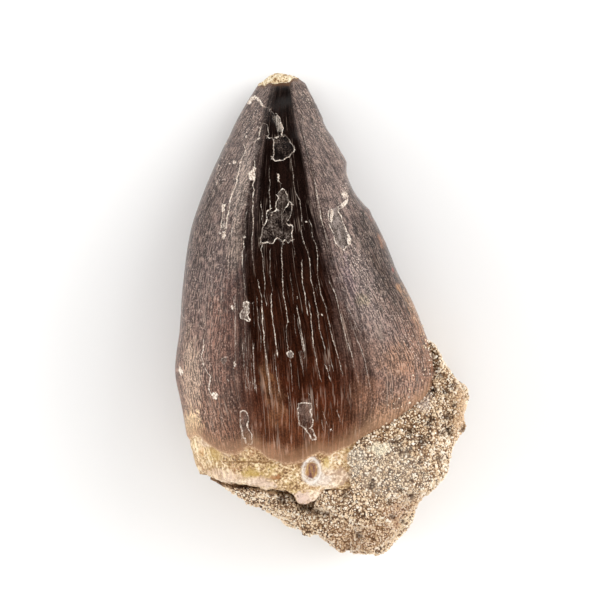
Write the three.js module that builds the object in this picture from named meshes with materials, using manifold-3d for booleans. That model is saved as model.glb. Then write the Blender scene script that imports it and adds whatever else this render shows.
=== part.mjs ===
// A fossil marine-reptile tooth with the lump of phosphate sandstone that still grips its root.
// It lies on its tongue side. Millimetres: +Y runs from the root to the worn tip, +X to the chipped
// cutting edge, and +Z up, out of the lip side of the crown. Z = 0 is the surface that it lies on.
//
// Two solids: "tooth" is one grown piece, an enamel crown over a short root collar, and "matrix" is the
// stone, with a socket that fits the tooth.
import * as THREE from "three";
import { ImprovedNoise } from "three/addons/math/ImprovedNoise.js";
import { mergeVertices } from "three/addons/utils/BufferGeometryUtils.js";
import Module from "manifold-3d";

const wasm = await Module();
wasm.setup();

// ---------------------------------------------------------------- driving dimensions
// The crown's four outlines, each as [distance along Y, X or Z] from the root end to the tip.
const LEFT_EDGE = [[-21, -12.7], [-16.2, -14.3], [-11, -15.3], [-6.6, -16.1], [-1.8, -15.6], [4, -15.2],
  [10.7, -14.2], [16.4, -12], [21, -9.7], [25.1, -7.4], [28, -5.5]];
const RIGHT_EDGE = [[-21, 12.6], [-14, 14.3], [-8.4, 15], [-5.6, 14.8], [-2.8, 13.8], [1.1, 12.3],
  [4.9, 10.4], [8.8, 8.8], [12.6, 7], [16.4, 5.3], [22.2, 2.2], [28, -0.8]];
const LIP_LINE = [[-21, 22.8], [-16.8, 24.2], [-8, 24.6], [2, 22.8], [10, 19.8], [18, 15.2], [24, 10.2],
  [28, 6.4]];
const TONGUE_LINE = [[-21, 5], [-14, 4.2], [-8, 3.4], [2, 2.4], [10, 1.5], [18, 0.76], [24, 0.26],
  [28, 1.4]];
const CARINA_LEVEL = 0.55; // where the cutting edges lie between the tongue line and the lip line

const FACETS = 7; // flat strips that run up the crown, counted all the way round
const FACET_DEPTH = 0.03; // share of the radius
const FACETS_START = -14; // Y where they begin to show
const FACETS_FULL = 8;
const CARINA_RIDGE = 0.018; // how far each cutting edge stands out, as a share of the radius
const CARINA_SPREAD = 0.36; // radians

// Scallops broken out of the right cutting edge: [Y of the middle, half length, depth].
const EDGE_CHIPS = [[15.6, 2.9, 1], [24, 1.8, 0.5], [5.2, 1.1, 0.25]];

const ENAMEL_STEP = 0.25; // the enamel's thickness over the root collar
const ENAMEL_ROW = 8; // the row of the skin that follows the enamel's lower margin
const TOOTH_ROWS = 40;
const TOOTH_COLUMNS = 56;
const ROOT_Y = -19.6;
const TIP_Y = 28;
const TIP_DOME = 0.8; // height of the worn tip over its rim

// The lined foramen in the collar.
const FORAMEN = { x: 0.1, y: -18.6, radii: [0.9, 1.15, 0.45] };

const SOCKET_GAP = 0.35; // between the tooth and the stone

// The stone is a block broken along these faces: [outward normal, distance from ROCK_CENTRE].
const ROCK_CENTRE = new THREE.Vector3(7, -15.5, 9);
const ROCK_FACES = [
  [[0.845, -0.534, 0], 8.5], // long break on the lower right
  [[0.72, -0.42, 0.55], 10.2],
  [[1, 0.05, -0.05], 13.6],
  [[0.87, 0.49, 0], 12.7],
  [[-0.47, -0.88, 0], 12.6], // undercut below the collar
  [[-0.3, -0.82, 0.5], 13.1],
  [[-0.12, -0.99, 0], 13.8],
  [[0, -0.75, 0.66], 14],
  [[0.55, 0.15, 0.82], 14],
  [[0, 0, 1], 15.4],
  [[-1, 0.1, 0.2], 20.2],
  [[-0.42, 0.9, -0.1], 13.2], // feathers out behind the crown
  [[0.25, 0.7, 0.66], 13.8],
  [[0.6, -0.3, -0.75], 11.5],
  [[-0.3, -0.7, -0.65], 13.5],
  [[-0.8, 0.1, -0.6], 17],
  [[0, 0, -1], 9.7],
];
const ROCK_EDGE_SHARPNESS = 1.1;
const ROCK_LUMPS = [[0.16, 0.8], [0.42, 0.45], [0.9, 0.2]]; // [waves per millimetre, height]
const ROCK_MESH = 1.5; // the stone's edges are about this long
const ROCK_ROOM = { min: [-18, -33, -5], max: [24, 5, 29] }; // the stone lies in here

// The stone laps onto the crown up to this edge, each point a [Y, X]. Left of it, crown and collar
// lie bare.
const LAP_LINE = [[-21.2, 1.6], [-20, 4], [-18.6, 4.9], [-16.8, 4.3], [-15.2, 5.4], [-13.6, 8.2],
  [-12, 10.8], [-9.6, 14], [-7, 15.4], [-4.8, 15.3], [-1.6, 14.4], [-0.4, 17]];
const LAP_EDGE = 0.5; // the stone's thickness at that edge
const LAP_SLOPE = 0.2; // how fast it thickens away from it
const LAP_MOST = 2;
const LAP_FROM_Z = 11;
const LAP_THIN_FROM_Z = 16; // lower than this it may be of any thickness, right up to its edge
const LAP_FALL = [0.5, 0.17]; // below the root's end the stone falls away, and ever more steeply
const BELOW_COLLAR = [[0.4, -23.2], [-1.6, -23.2], [-2.6, -21.6], [-14, -19.6], [-24, -18]]; // [X, Y]
const BARE_FROM_Z = 15;
const BARE_TO_Z = 40;

// Hollows in the stone: [centre, reach, depth].
const ROCK_HOLLOWS = [
  [[0.4, -24, 17.5], 1.7, 3], // crevice under the collar
  [[-3, -22.8, 18], 1.5, 2.4],
  [[15.2, -13.8, 17.5], 1.2, 1.2],
  [[13.6, -19.4, 16], 1.3, 1],
];

// ---------------------------------------------------------------- helpers
// A smooth line through hand-set points, read as value(y).
function smoothLine(points) {
  const slope = (i) => {
    const [a, b] = [points[Math.max(i - 1, 0)], points[Math.min(i + 1, points.length - 1)]];
    return (b[1] - a[1]) / (b[0] - a[0]);
  };
  return (y) => {
    const last = points.length - 2;
    const next = points.findIndex((p) => p[0] > y);
    const i = next < 0 ? last : Math.min(Math.max(next - 1, 0), last);
    const [y0, v0] = points[i];
    const [y1, v1] = points[i + 1];
    const span = y1 - y0;
    const t = THREE.MathUtils.clamp((y - y0) / span, 0, 1);
    const ease = t * t * (3 - 2 * t);
    const leave = t * (1 - t) * (1 - t) * span * slope(i);
    const arrive = t * t * (t - 1) * span * slope(i + 1);
    return v0 + (v1 - v0) * ease + leave + arrive;
  };
}

// A closed skin of rings, with a fan over each end. pointAt(row, column) gives the rings' points.
function closedSkin(rows, columns, pointAt, startPoint, endPoint) {
  const positions = [];
  const index = [];
  for (let row = 0; row < rows; row++) {
    for (let column = 0; column < columns; column++) positions.push(...pointAt(row, column));
  }
  const start = rows * columns;
  positions.push(...startPoint, ...endPoint);
  const at = (row, column) => row * columns + (column % columns);
  for (let column = 0; column < columns; column++) {
    for (let row = 0; row < rows - 1; row++) {
      const [a, b] = [at(row, column), at(row, column + 1)];
      const [c, d] = [at(row + 1, column), at(row + 1, column + 1)];
      index.push(a, d, b, a, c, d);
    }
    index.push(start, at(0, column), at(0, column + 1));
    index.push(start + 1, at(rows - 1, column + 1), at(rows - 1, column));
  }
  const skin = new THREE.BufferGeometry();
  skin.setAttribute("position", new THREE.Float32BufferAttribute(positions, 3));
  skin.setIndex(index);
  return skin;
}

function toSolid(geometry) {
  const bare = geometry.clone();
  bare.deleteAttribute("normal");
  bare.deleteAttribute("uv");
  const merged = mergeVertices(bare, 1e-4);
  return new wasm.Manifold(new wasm.Mesh({
    numProp: 3,
    vertProperties: merged.attributes.position.array,
    triVerts: new Uint32Array(merged.index.array),
  }));
}

function toGeometry(solid) {
  const mesh = solid.getMesh();
  const geometry = new THREE.BufferGeometry();
  geometry.setAttribute("position", new THREE.Float32BufferAttribute(mesh.vertProperties, 3));
  geometry.setIndex(new THREE.BufferAttribute(mesh.triVerts, 1));
  geometry.computeVertexNormals();
  return geometry;
}

// ---------------------------------------------------------------- tooth
const leftEdge = smoothLine(LEFT_EDGE);
const rightEdge = smoothLine(RIGHT_EDGE);
const lipLine = smoothLine(LIP_LINE);
const tongueLine = smoothLine(TONGUE_LINE);

function edgeChip(y) {
  return EDGE_CHIPS.reduce((sum, [middle, half, depth]) => {
    const away = (y - middle) / half;
    return sum + depth * Math.max(1 - away * away, 0);
  }, 0);
}

// The section of the tooth at one Y: its middle, half width, and half depth on the side asked for.
function sectionAt(y, lipSide) {
  const [left, right] = [leftEdge(y), rightEdge(y)];
  const [low, high] = [tongueLine(y), lipLine(y)];
  const middleZ = THREE.MathUtils.lerp(low, high, CARINA_LEVEL);
  return {
    middleX: (left + right) / 2,
    middleZ,
    halfWidth: (right - left) / 2,
    halfDepth: lipSide ? high - middleZ : middleZ - low,
  };
}

// theta runs from the right cutting edge (0) over the lip side (a quarter turn) to the left one (a half
// turn), and back under the tongue side.
function toothPoint(theta, y, lift = 0) {
  const [c, s] = [Math.cos(theta), Math.sin(theta)];
  const { middleX, middleZ, halfWidth, halfDepth } = sectionAt(y, s >= 0);
  const show = THREE.MathUtils.smoothstep(y, FACETS_START, FACETS_FULL);
  const facet = -FACET_DEPTH * show * Math.cos(FACETS * (theta - Math.PI / 2));
  const carina = CARINA_RIDGE * Math.exp((-2 * (1 - Math.abs(c))) / CARINA_SPREAD ** 2);
  const swell = 1 + facet * Math.abs(s) + carina - CARINA_RIDGE;
  const chip = c > 0 ? edgeChip(y) * Math.pow(c, 6) : 0;
  return [middleX + (halfWidth * swell + lift - chip) * c, y, middleZ + (halfDepth * swell + lift) * s];
}

// The enamel's lower margin dips on the lip side and climbs towards the right cutting edge.
function enamelMargin(theta) {
  return -13.7 + 3.15 * Math.cos(theta) + 2.1 * Math.cos(2 * theta) - 1.8 * Math.sin(theta);
}

// The broken end of the root: lowest on the lip side, with a tongue of bone hanging from its middle.
function rootEnd(theta) {
  const tongue = Math.exp(-(((theta - 1.61) / 0.14) ** 2));
  const breaks = 0.15 * Math.sin(9 * theta) + 0.2 * Math.sin(5 * theta);
  return ROOT_Y - 0.9 * Math.sin(theta) + 0.6 * Math.cos(theta) * Math.cos(theta) + breaks - 2.2 * tongue;
}

// The tooth's skin, or with a grow above 0 the same skin grown by that much, to cut its socket.
function toothSkin(grow = 0) {
  const pointAt = (row, column) => {
    const theta = (column / TOOTH_COLUMNS) * 2 * Math.PI;
    const margin = enamelMargin(theta);
    if (row < ENAMEL_ROW) {
      const up = row / (ENAMEL_ROW - 1);
      return toothPoint(theta, THREE.MathUtils.lerp(rootEnd(theta) - grow, margin, up), grow);
    }
    const up = (row - ENAMEL_ROW) / (TOOTH_ROWS - 1 - ENAMEL_ROW);
    const y = THREE.MathUtils.lerp(margin + ENAMEL_STEP, TIP_Y, up);
    return toothPoint(theta, y, grow + ENAMEL_STEP * (1 - THREE.MathUtils.smoothstep(up, 0.8, 1)));
  };
  const root = sectionAt(ROOT_Y, true);
  const tip = sectionAt(TIP_Y, true);
  return closedSkin(TOOTH_ROWS, TOOTH_COLUMNS, pointAt,
    [root.middleX, ROOT_Y - grow, root.middleZ], [tip.middleX - 0.4, TIP_Y + TIP_DOME, tip.middleZ]);
}

// Height of the lip side over the surface that the tooth lies on.
function crownTop(x, y) {
  const { middleX, middleZ, halfWidth, halfDepth } = sectionAt(y, true);
  return middleZ + halfDepth * Math.sqrt(1 - ((x - middleX) / halfWidth) ** 2);
}

// Roughly how deep a place is inside the tooth, or as a negative number how far outside it.
function depthInTooth(x, y, z) {
  const { middleX, middleZ, halfWidth, halfDepth } = sectionAt(Math.max(y, ROOT_Y), true);
  const outwards = Math.hypot((x - middleX) / halfWidth, (z - middleZ) / halfDepth);
  return (1 - outwards) * Math.min(halfWidth, halfDepth);
}

function makeTooth() {
  const { x, y, radii } = FORAMEN;
  const pit = new THREE.IcosahedronGeometry(1, 3).scale(...radii).translate(x, y, crownTop(x, y));
  return toSolid(toothSkin()).subtract(toSolid(pit));
}

// ---------------------------------------------------------------- stone
const noise = new ImprovedNoise();
const lapLine = smoothLine(LAP_LINE);
const rockFaces = ROCK_FACES.map(([normal, distance]) => {
  return [new THREE.Vector3(...normal).normalize(), distance];
});

function lumps(x, y, z) {
  return ROCK_LUMPS.reduce((sum, [waves, height], i) =>
    sum + 2 * height * noise.noise(x * waves + 7.3 * i, y * waves + 3.1 * i, z * waves + 5.7 * i), 0);
}

// How deep a place is below the block's broken faces. Where faces meet, the edge is rounded off.
function depthInBlock(x, y, z) {
  const from = new THREE.Vector3(x, y, z).sub(ROCK_CENTRE);
  const sum = rockFaces.reduce((total, [normal, distance]) =>
    total + Math.exp(ROCK_EDGE_SHARPNESS * (normal.dot(from) - distance)), 0);
  return -Math.log(sum) / ROCK_EDGE_SHARPNESS + lumps(x, y, z);
}

// The block, with a skin over the crown that feathers out towards the edge of the lap.
function depthInStone([x, y, z]) {
  const inwards = x - lapLine(y);
  const below = Math.max(ROOT_Y - y, 0);
  let depth = depthInBlock(x, y, z);
  if (z > LAP_FROM_Z && inwards > -2) {
    const even = Math.min(LAP_EDGE + LAP_SLOPE * Math.max(inwards, 0), LAP_MOST);
    const thickness = even + 0.4 * lumps(x, y, z);
    const lap = depthInTooth(x, y, z) + thickness - LAP_FALL[0] * below - LAP_FALL[1] * below ** 2;
    depth = Math.max(depth, lap);
    if (below === 0 && z > LAP_THIN_FROM_Z) {
      depth = Math.min(depth, lap + 12 * THREE.MathUtils.smoothstep(inwards, 1, 7));
    }
  }
  for (const [centre, reach, cut] of ROCK_HOLLOWS) {
    const away = Math.hypot(x - centre[0], y - centre[1], z - centre[2]) / reach;
    depth -= cut * Math.exp(-away * away);
  }
  return depth;
}

function makeStone() {
  const lapEdge = LAP_LINE.map(([y, x]) => [x, y]).reverse();
  const bare = [...lapEdge, ...BELOW_COLLAR, [-24, 34], [17, 34]];
  const outline = new THREE.Shape(bare.map(([x, y]) => new THREE.Vector2(x, y)));
  const depth = BARE_TO_Z - BARE_FROM_Z;
  const bareFace = new THREE.ExtrudeGeometry(outline, { depth, bevelEnabled: false });
  bareFace.translate(0, 0, BARE_FROM_Z);
  const belowTable = new THREE.BoxGeometry(120, 120, 40).translate(0, 0, -20);
  const stone = wasm.Manifold.levelSet(depthInStone, ROCK_ROOM, ROCK_MESH)
    .subtract(toSolid(toothSkin(SOCKET_GAP)))
    .subtract(toSolid(bareFace))
    .subtract(toSolid(belowTable))
    .simplify(0.03);
  const bodies = stone.decompose().sort((a, b) => b.volume() - a.volume());
  return bodies[0]; // the crumbs that the cuts leave along the thin edge fall away
}

// ---------------------------------------------------------------- assembly
function named(name, solid, color, roughness) {
  const finish = new THREE.MeshStandardMaterial({ color, roughness, metalness: 0 });
  const mesh = new THREE.Mesh(toGeometry(solid), finish);
  mesh.name = name;
  return mesh;
}

const fossil = new THREE.Group();
fossil.name = "fossil";
fossil.add(named("tooth", makeTooth(), 0x4a2f25, 0.3));
fossil.add(named("matrix", makeStone(), 0xc2a88a, 0.95));

// The origin is under the middle of the whole fossil, on the surface that it lies on.
const box = new THREE.Box3().setFromObject(fossil);
const middle = box.getCenter(new THREE.Vector3());
fossil.position.set(-middle.x, -middle.y, -box.min.z);

export default fossil;
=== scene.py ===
"""A fossil mosasaur tooth, and the phosphate sandstone that still grips its root.

Every length below is in millimetres, in the part's own frame: +Y runs from the root to the worn tip,
+X to the chipped cutting edge, +Z up. Blender's metres come in only where a mesh is made and where
the camera is set up.
"""

import math
from types import SimpleNamespace

import bpy
import numpy as np
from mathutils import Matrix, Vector, bvhtree, noise


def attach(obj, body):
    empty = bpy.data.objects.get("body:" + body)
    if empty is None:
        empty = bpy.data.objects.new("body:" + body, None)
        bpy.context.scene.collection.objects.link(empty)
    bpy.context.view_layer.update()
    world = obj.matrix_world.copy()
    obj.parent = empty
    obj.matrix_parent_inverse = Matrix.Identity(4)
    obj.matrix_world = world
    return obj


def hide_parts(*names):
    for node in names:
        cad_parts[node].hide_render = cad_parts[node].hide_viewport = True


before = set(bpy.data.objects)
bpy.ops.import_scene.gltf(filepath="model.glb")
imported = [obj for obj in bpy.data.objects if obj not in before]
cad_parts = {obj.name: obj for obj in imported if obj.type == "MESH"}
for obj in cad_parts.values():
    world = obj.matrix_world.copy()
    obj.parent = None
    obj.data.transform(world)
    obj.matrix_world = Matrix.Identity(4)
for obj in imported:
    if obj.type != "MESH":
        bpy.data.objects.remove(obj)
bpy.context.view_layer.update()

MM = 0.001
FAR = 9.0  # anything so far from a mark, or further, is clear of it
rng = np.random.default_rng(65)

# ---------------------------------------------------------------- camera
EYE = np.array([-2.19, 1.07, 514.0])
PLAN_LEVEL = 14.0  # the marks below are drawn as seen from the eye on this level
FRAME_WIDTH = 72.96  # what the camera sees of that level
SENSOR = 36.0

# ---------------------------------------------------------------- tooth: the part's own outlines
ORIGIN = np.array([-1.470, -0.248, 0.0])  # where the outlines' own origin lies
# The two cutting edges, read as x(y).
LEFT_EDGE = [(-21, -12.7), (-16.2, -14.1), (-11, -15.1), (-6.6, -15.9), (-1.8, -15.4), (4, -15),
             (10.7, -14), (16.4, -12), (21, -9.95), (25.1, -8.1), (28.4, -6.2)]
RIGHT_EDGE = [(-21, 12.6), (-14, 14.3), (-8.4, 15), (-5.6, 14.8), (-2.8, 13.8), (1.1, 12.3), (4.9, 10.4),
              (8.8, 8.8), (12.6, 7), (16.4, 5.3), (22.2, 2.25), (25.2, 0.9), (28.4, -0.55)]
# The height of the lip side's ridge and of the side that it lies on, read as z(y).
LIP_LINE = [(-21, 22.8), (-16.8, 24.2), (-8, 24.6), (2, 22.8), (10, 19.8), (18, 15.2), (24, 10.2),
            (28.4, 6.2)]
TONGUE_LINE = [(-21, 5), (-14, 4.2), (-8, 3.4), (2, 2.4), (10, 1.5), (18, 0.76), (24, 0.26), (28.4, 1.4)]
CARINA_LEVEL = 0.55  # how high the cutting edges run between those two
CARINA_RIDGE = 0.018  # how far they stand out, as a share of the section
CARINA_SPREAD = 0.36
FACETS = 7  # flat faces round the crown
FACET_DEPTH = 0.03  # how hollow the section is between them
FACETS_START = -14
FACETS_FULL = 8
EDGE_CHIPS = [(15.6, 2.9, 0.95), (22.8, 1.2, 0.22)]  # of the right edge: middle Y, half length, depth
ENAMEL_STEP = 0.25  # how far the enamel stands above the root
ROOT_Y = -19.6
TIP_Y = 28.4
# How far the worn tip stands above that, from its left corner to its right one.
TIP_CREST = [(-6, 0.05), (-5.4, 0.6), (-4.7, 0.95), (-4, 1.1), (-3.2, 1), (-2.4, 0.85), (-1.6, 0.75),
             (-0.7, 0.5)]

# ---------------------------------------------------------------- marks on the lip side, seen from the eye
# Hairline cracks that a cream mineral has filled: how boldly each shows, then its points.
HAIR_CRACKS = [
    (1.5, [(-7.2, 25.6), (-7, 25.9), (-6.8, 26.2)]),
    (1.3, [(-6.4, 26.1), (-6.2, 25.9)]),
    (1.1, [(-6, 25.8), (-5.8, 25.3), (-5.6, 25.1)]),
    (0.6, [(-5.6, 25.1), (-5.4, 24.9), (-5.1, 24.9)]),
    (0.35, [(-5.1, 24.9), (-4.8, 24.6), (-4.5, 24.3), (-4.3, 24.1)]),
    (0.4, [(-4.5, 23.9), (-4.4, 23.4), (-4.1, 23), (-3.9, 22.1), (-3.8, 21.8)]),
    (1.1, [(-3.9, 24), (-3.6, 23.6), (-3.5, 23.1), (-3.3, 22.6), (-3.2, 22.3), (-3.3, 22.1), (-3.4, 21.7)]),
    (0.5, [(-4, 23.4), (-3.7, 22.6)]),
    (0.6, [(-3.4, 21.7), (-3.2, 21.5), (-2.9, 21.6), (-2.6, 21.3), (-2.4, 20.8), (-2.1, 20.4), (-1.9, 20)]),
    (0.95, [(-1.9, 20), (-1.9, 19.6), (-2.2, 19.5), (-2.5, 19), (-2.9, 18.9), (-3.2, 18.6), (-3.6, 18.6),
           (-4.2, 18.5), (-4.5, 18.9)]),
    (0.8, [(-4.5, 18.9), (-4.3, 19.3), (-4.4, 20.2), (-4.3, 20.7), (-4.5, 21.3), (-4.9, 21.2),
           (-5.1, 21.4)]),
    (0.6, [(-5.1, 21.4), (-4.9, 21.7), (-5, 22.3), (-5.1, 22.8), (-5.4, 23), (-5.7, 22.9)]),
    (0.9, [(-4.1, 21.3), (-3.9, 21.4)]),
    (0.9, [(-5.7, 22.9), (-5.8, 22.7), (-6, 22.5), (-6, 22.1), (-6.1, 21.6)]),
    (0.8, [(-6.2, 22.5), (-6, 22.5)]),
    (1.0, [(-6.2, 21.2), (-6.7, 20.8)]),
    (0.9, [(-7.4, 20.4), (-7.6, 20.2)]),
    (1.1, [(-7.9, 20.3), (-7.7, 19.8), (-7.9, 19.3), (-8.3, 18.5), (-8.4, 18), (-8.6, 16.9), (-8.8, 16.4),
           (-8.7, 16.1), (-9, 15.3), (-9.4, 14.5), (-9.6, 13.7), (-9.6, 12.8), (-9.9, 12), (-10, 11.1),
           (-10.1, 10.1)]),
    (0.9, [(-10.4, 13.3), (-10.5, 12.3), (-10.5, 11.6), (-10.7, 11.1), (-10.7, 10.5), (-10.8, 10.2)]),
    (0.5, [(-10.4, 11.4), (-10.2, 10.9)]),
    (0.35, [(-0.8, 24.2), (-0.8, 22.5)]),
    (0.65, [(-6.7, 18.9), (-6.6, 17.9)]),
    (0.95, [(-6.7, 16.2), (-6.9, 15.5), (-6.7, 15), (-6.9, 14.4), (-6.9, 13.8), (-6.8, 13.4),
           (-6.9, 12.5)]),
    (0.7, [(-6.9, 12.5), (-6.8, 11.6), (-6.8, 10.7), (-6.9, 9.6)]),
    (0.45, [(-6.9, 9.6), (-7, 8.9), (-6.9, 7.5), (-6.8, 6), (-6.7, 5.8)]),
    (0.4, [(-4.9, 17.6), (-4.9, 16.8), (-4.8, 15.6), (-4.9, 14.8), (-4.8, 13.7)]),
    (0.6, [(-4.8, 13.7), (-4.8, 12.7)]),
    (0.85, [(-4.8, 12.7), (-5.2, 12.4), (-5.2, 12), (-5.1, 11.6), (-5.4, 10.9), (-5.6, 10.6), (-5.8, 10.3),
           (-5.7, 9.8), (-6, 9.2), (-5.9, 8.7)]),
    (1.0, [(-5.9, 8.7), (-5.6, 8.7), (-5.1, 8.8), (-4.7, 8.6), (-4.4, 8.6), (-4.2, 9.1), (-3.9, 9.3),
           (-3.6, 9.2), (-3.3, 8.7), (-3.1, 9), (-2.9, 9.1), (-2.7, 8.6), (-2.3, 8.9), (-2.1, 9)]),
    (0.8, [(-2.1, 9), (-2.2, 9.8), (-2.1, 10.3), (-2.1, 10.7), (-2.3, 10.9), (-2.5, 10.7), (-2.7, 10.9)]),
    (0.8, [(-2.7, 14.1), (-2.7, 14.4), (-2.9, 14.7), (-3.1, 15.1), (-3.3, 15.2), (-3.6, 14.9)]),
    (0.35, [(-3.6, 14.9), (-3.9, 14.5)]),
    (0.9, [(-3.9, 14.3), (-3.7, 14.1), (-4, 13.7), (-4.1, 13.2), (-4.2, 12.9), (-3.9, 12.7), (-4.5, 12.3),
           (-4.6, 12)]),
    (0.35, [(-4.6, 12), (-4.6, 10.9), (-4.5, 10), (-4.3, 9.6)]),
    (0.85, [(-2.2, 13.4), (-2.4, 13.6), (-2.5, 13.7), (-2.6, 13.3), (-3, 12.9), (-3.1, 12.6)]),
    (0.75, [(-2.2, 13.4), (-2.2, 12.7), (-2.3, 12), (-2.6, 11.5)]),
    (0.3, [(-3.3, 14.3), (-3.3, 13.3), (-3.4, 12.1), (-3.3, 10)]),
    (0.8, [(-3.9, 16.8), (-3.7, 16.4), (-3.9, 16.1), (-3.6, 15.9)]),
    (0.3, [(-3.6, 15.8), (-3.5, 15.4)]),
    (0.4, [(-2.3, 18.7), (-2, 16.8), (-2, 15.8), (-1.8, 14.9), (-1.4, 14.1), (-1.2, 13.8), (-1.1, 12.7),
           (-1, 12), (-1, 10.6), (-1, 9.8), (-0.8, 8.9)]),
    (0.7, [(-0.8, 8.9), (-0.5, 8.1), (-0.2, 7.4), (0, 6), (0.1, 4.4), (0.4, 3), (0.7, 1.4), (1, 0)]),
    (0.5, [(1, 0), (1.1, -1.6), (1.5, -2.9), (1.8, -4.2)]),
    (0.35, [(-0.9, 22.7), (-0.4, 19.9), (0.1, 18), (0.4, 17.1), (0.6, 15.9)]),
    (0.7, [(0.6, 15.9), (0.8, 14.6), (1, 13.7), (1.2, 12.6), (1.3, 11.8), (1.5, 11.1)]),
    (0.45, [(1.5, 11.1), (1.8, 10.1), (2, 9.1), (2.2, 8)]),
    (0.55, [(0, 11.2), (0.2, 10.6), (0.3, 9.5), (0.8, 8.1), (0.9, 7.2), (0.9, 4.8), (1.3, 2.5), (1.7, 1.4),
           (2, 0.8), (2.1, -0.1), (2.4, -1.3)]),
    (0.5, [(-5.9, 13.6), (-5.9, 13.2), (-5.7, 12.3), (-5.8, 11.6), (-5.6, 10.7)]),
    (0.55, [(-5.7, 8.6), (-5.9, 7.8), (-5.6, 6.8), (-5.6, 5.4), (-5.4, 3.9), (-5.5, 2.2), (-5.2, 1.3)]),
    (0.7, [(-3.3, 8.5), (-3.4, 7.9), (-3.4, 7.1), (-3.3, 4.8), (-3.2, 2.4), (-3, 1.5), (-2.8, 0.5),
           (-2.7, -0.7)]),
    (0.4, [(-2.7, -0.7), (-2.9, -1.7), (-2.8, -2.9), (-2.6, -4.3)]),
    (0.45, [(-2.4, -5.2), (-2.3, -6.1), (-2.2, -7.1), (-2.1, -8.9)]),
    (0.35, [(-2.1, 8.7), (-1.9, 8), (-1.8, 7.2)]),
    (0.35, [(-4.8, 7.8), (-4.8, 6), (-4.8, 4.8), (-4.5, 3)]),
    (0.35, [(-7.6, 12.4), (-7.8, 11.3), (-7.8, 9.7)]),
    (1.1, [(-8, 8.7), (-7.9, 8.1), (-8.1, 7.6)]),
    (0.8, [(-8.1, 7.6), (-8.1, 6.8), (-8.1, 6)]),
    (0.35, [(-8.1, 6), (-8, 4.8), (-7.8, 3), (-7.8, 1.9)]),
    (0.5, [(-7.7, 7.2), (-7.7, 6.7)]),
    (0.5, [(-9.3, 10.9), (-9.4, 9.9), (-9.5, 9)]),
    (0.4, [(-11.8, 11.1), (-12, 10.2), (-12.2, 9.6), (-12.3, 8.9)]),
    (0.5, [(-12.8, 11), (-12.8, 10.5)]),
    (0.9, [(2.3, 12.6), (2.2, 11.8), (2.3, 11), (2.4, 10.5), (2.7, 10.1), (3, 9.5), (2.9, 9.1), (3.2, 8.5),
           (3.6, 8.2), (4.1, 7.8), (4.4, 8.2)]),
    (0.9, [(4, 14.8), (4.1, 14.3), (3.7, 14.5)]),
    (1.0, [(4.4, 14.6), (4.6, 14.4), (4.5, 13.9), (4.5, 13.5), (4.1, 13), (3.7, 12.8)]),
    (0.8, [(3.4, 13.2), (3.4, 12.5), (3.8, 11.8), (4, 11.2), (4.2, 10.6), (4.5, 10)]),
    (0.6, [(-6.2, 4), (-6.1, 3.3), (-5.8, 2.3), (-5.8, 1.1)]),
    (0.85, [(-5.8, 1.1), (-5.7, -0.1), (-5.7, -1.3), (-5.5, -2.3), (-5.5, -2.9)]),
    (0.65, [(-5.5, -2.9), (-5.4, -4), (-5.2, -5.4), (-5, -7.1), (-4.8, -9.6)]),
    (0.75, [(-4.7, 2.4), (-4.6, 0.5), (-4.4, -1), (-4.2, -2.5), (-4, -4.2), (-3.9, -4.8)]),
    (0.45, [(-4.3, -4.8), (-4.1, -6.1), (-4, -7.1), (-3.7, -9.2)]),
    (0.3, [(-2.4, 4.8), (-2.1, 3), (-2, 1.6)]),
    (0.25, [(-1.9, -0.1), (-1.7, -2.4)]),
    (0.65, [(-1, 6.4), (-0.9, 3.8), (-0.6, 2.5), (-0.5, 1.2), (-0.3, 0.2)]),
    (0.7, [(-1.6, 1), (-1.3, -0.4), (-1.1, -1.8), (-0.8, -3.3), (-0.7, -3.9), (-0.6, -5)]),
    (0.35, [(-1.2, -4.5), (-0.9, -5.8), (-0.8, -7.1)]),
    (0.85, [(-0.1, 1.4), (0.1, -0.1), (0.2, -1.3), (0.3, -2.5), (0.4, -3.7)]),
    (0.55, [(0.4, -3.7), (0.7, -5), (0.9, -6.2), (1.3, -7.8)]),
    (0.5, [(-9.1, 1.7), (-9, 0.2), (-9, -1.7), (-8.9, -3.6)]),
    (0.25, [(-6.8, 1.4), (-6.8, 0.2), (-6.7, -1.2)]),
    (0.55, [(-6.8, -3.6), (-6.8, -5.8), (-6.7, -7.1), (-6.6, -9)]),
    (0.4, [(-8.1, -3.5), (-8, -5), (-7.8, -7.1), (-7.7, -8.8)]),
    (0.95, [(-8, 1), (-8, 1.5), (-7.6, 1.6), (-7.1, 1.5), (-7.5, 1.1), (-7.8, 0.9), (-7.3, 0.8),
           (-7.3, 0.3), (-7.6, -0.1)]),
    (1.05, [(-7.6, -0.1), (-7.2, -0.5), (-7.3, -0.8), (-7.9, -0.5), (-8.3, -0.4), (-8.4, 0.1), (-8.2, 0.5),
           (-8, 0.7)]),
    (0.9, [(-12.8, -3), (-12.8, -4.1), (-13.1, -5), (-12.5, -6.7), (-11.9, -7.4), (-12.2, -8.8),
           (-11.9, -9.6), (-11.3, -9.8)]),
    (0.55, [(-1.5, -0.6), (-0.9, -3.7), (-0.7, -4.7)]),
    (0.55, [(2.3, 4), (3.1, 2.4), (3.7, -0.3), (4.3, -2.7), (5.1, -4.9), (5.3, -6.1)]),
    (0.6, [(1.9, 1), (2.5, -2.1), (3.3, -4.7), (3.9, -7.1)]),
    (0.4, [(4.5, 1), (5.3, -0.6), (5.8, -1.8)]),
    (0.3, [(-10.7, 5.4), (-10.6, 3), (-10.8, 0.4), (-10.7, -1.3)]),
    (0.3, [(-9.8, 6.8), (-9.8, 4.2)]),
    (0.3, [(-11.9, 6.4), (-11.8, 0), (-11.8, -3.9)]),
    (0.25, [(-13.2, 6.4), (-13.1, 1)]),
    (0.4, [(-9, 2.3), (-8.9, -2.1)]),
    (0.5, [(-6.9, -3.3), (-6.7, -6.9), (-6.4, -9.3)]),
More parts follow.
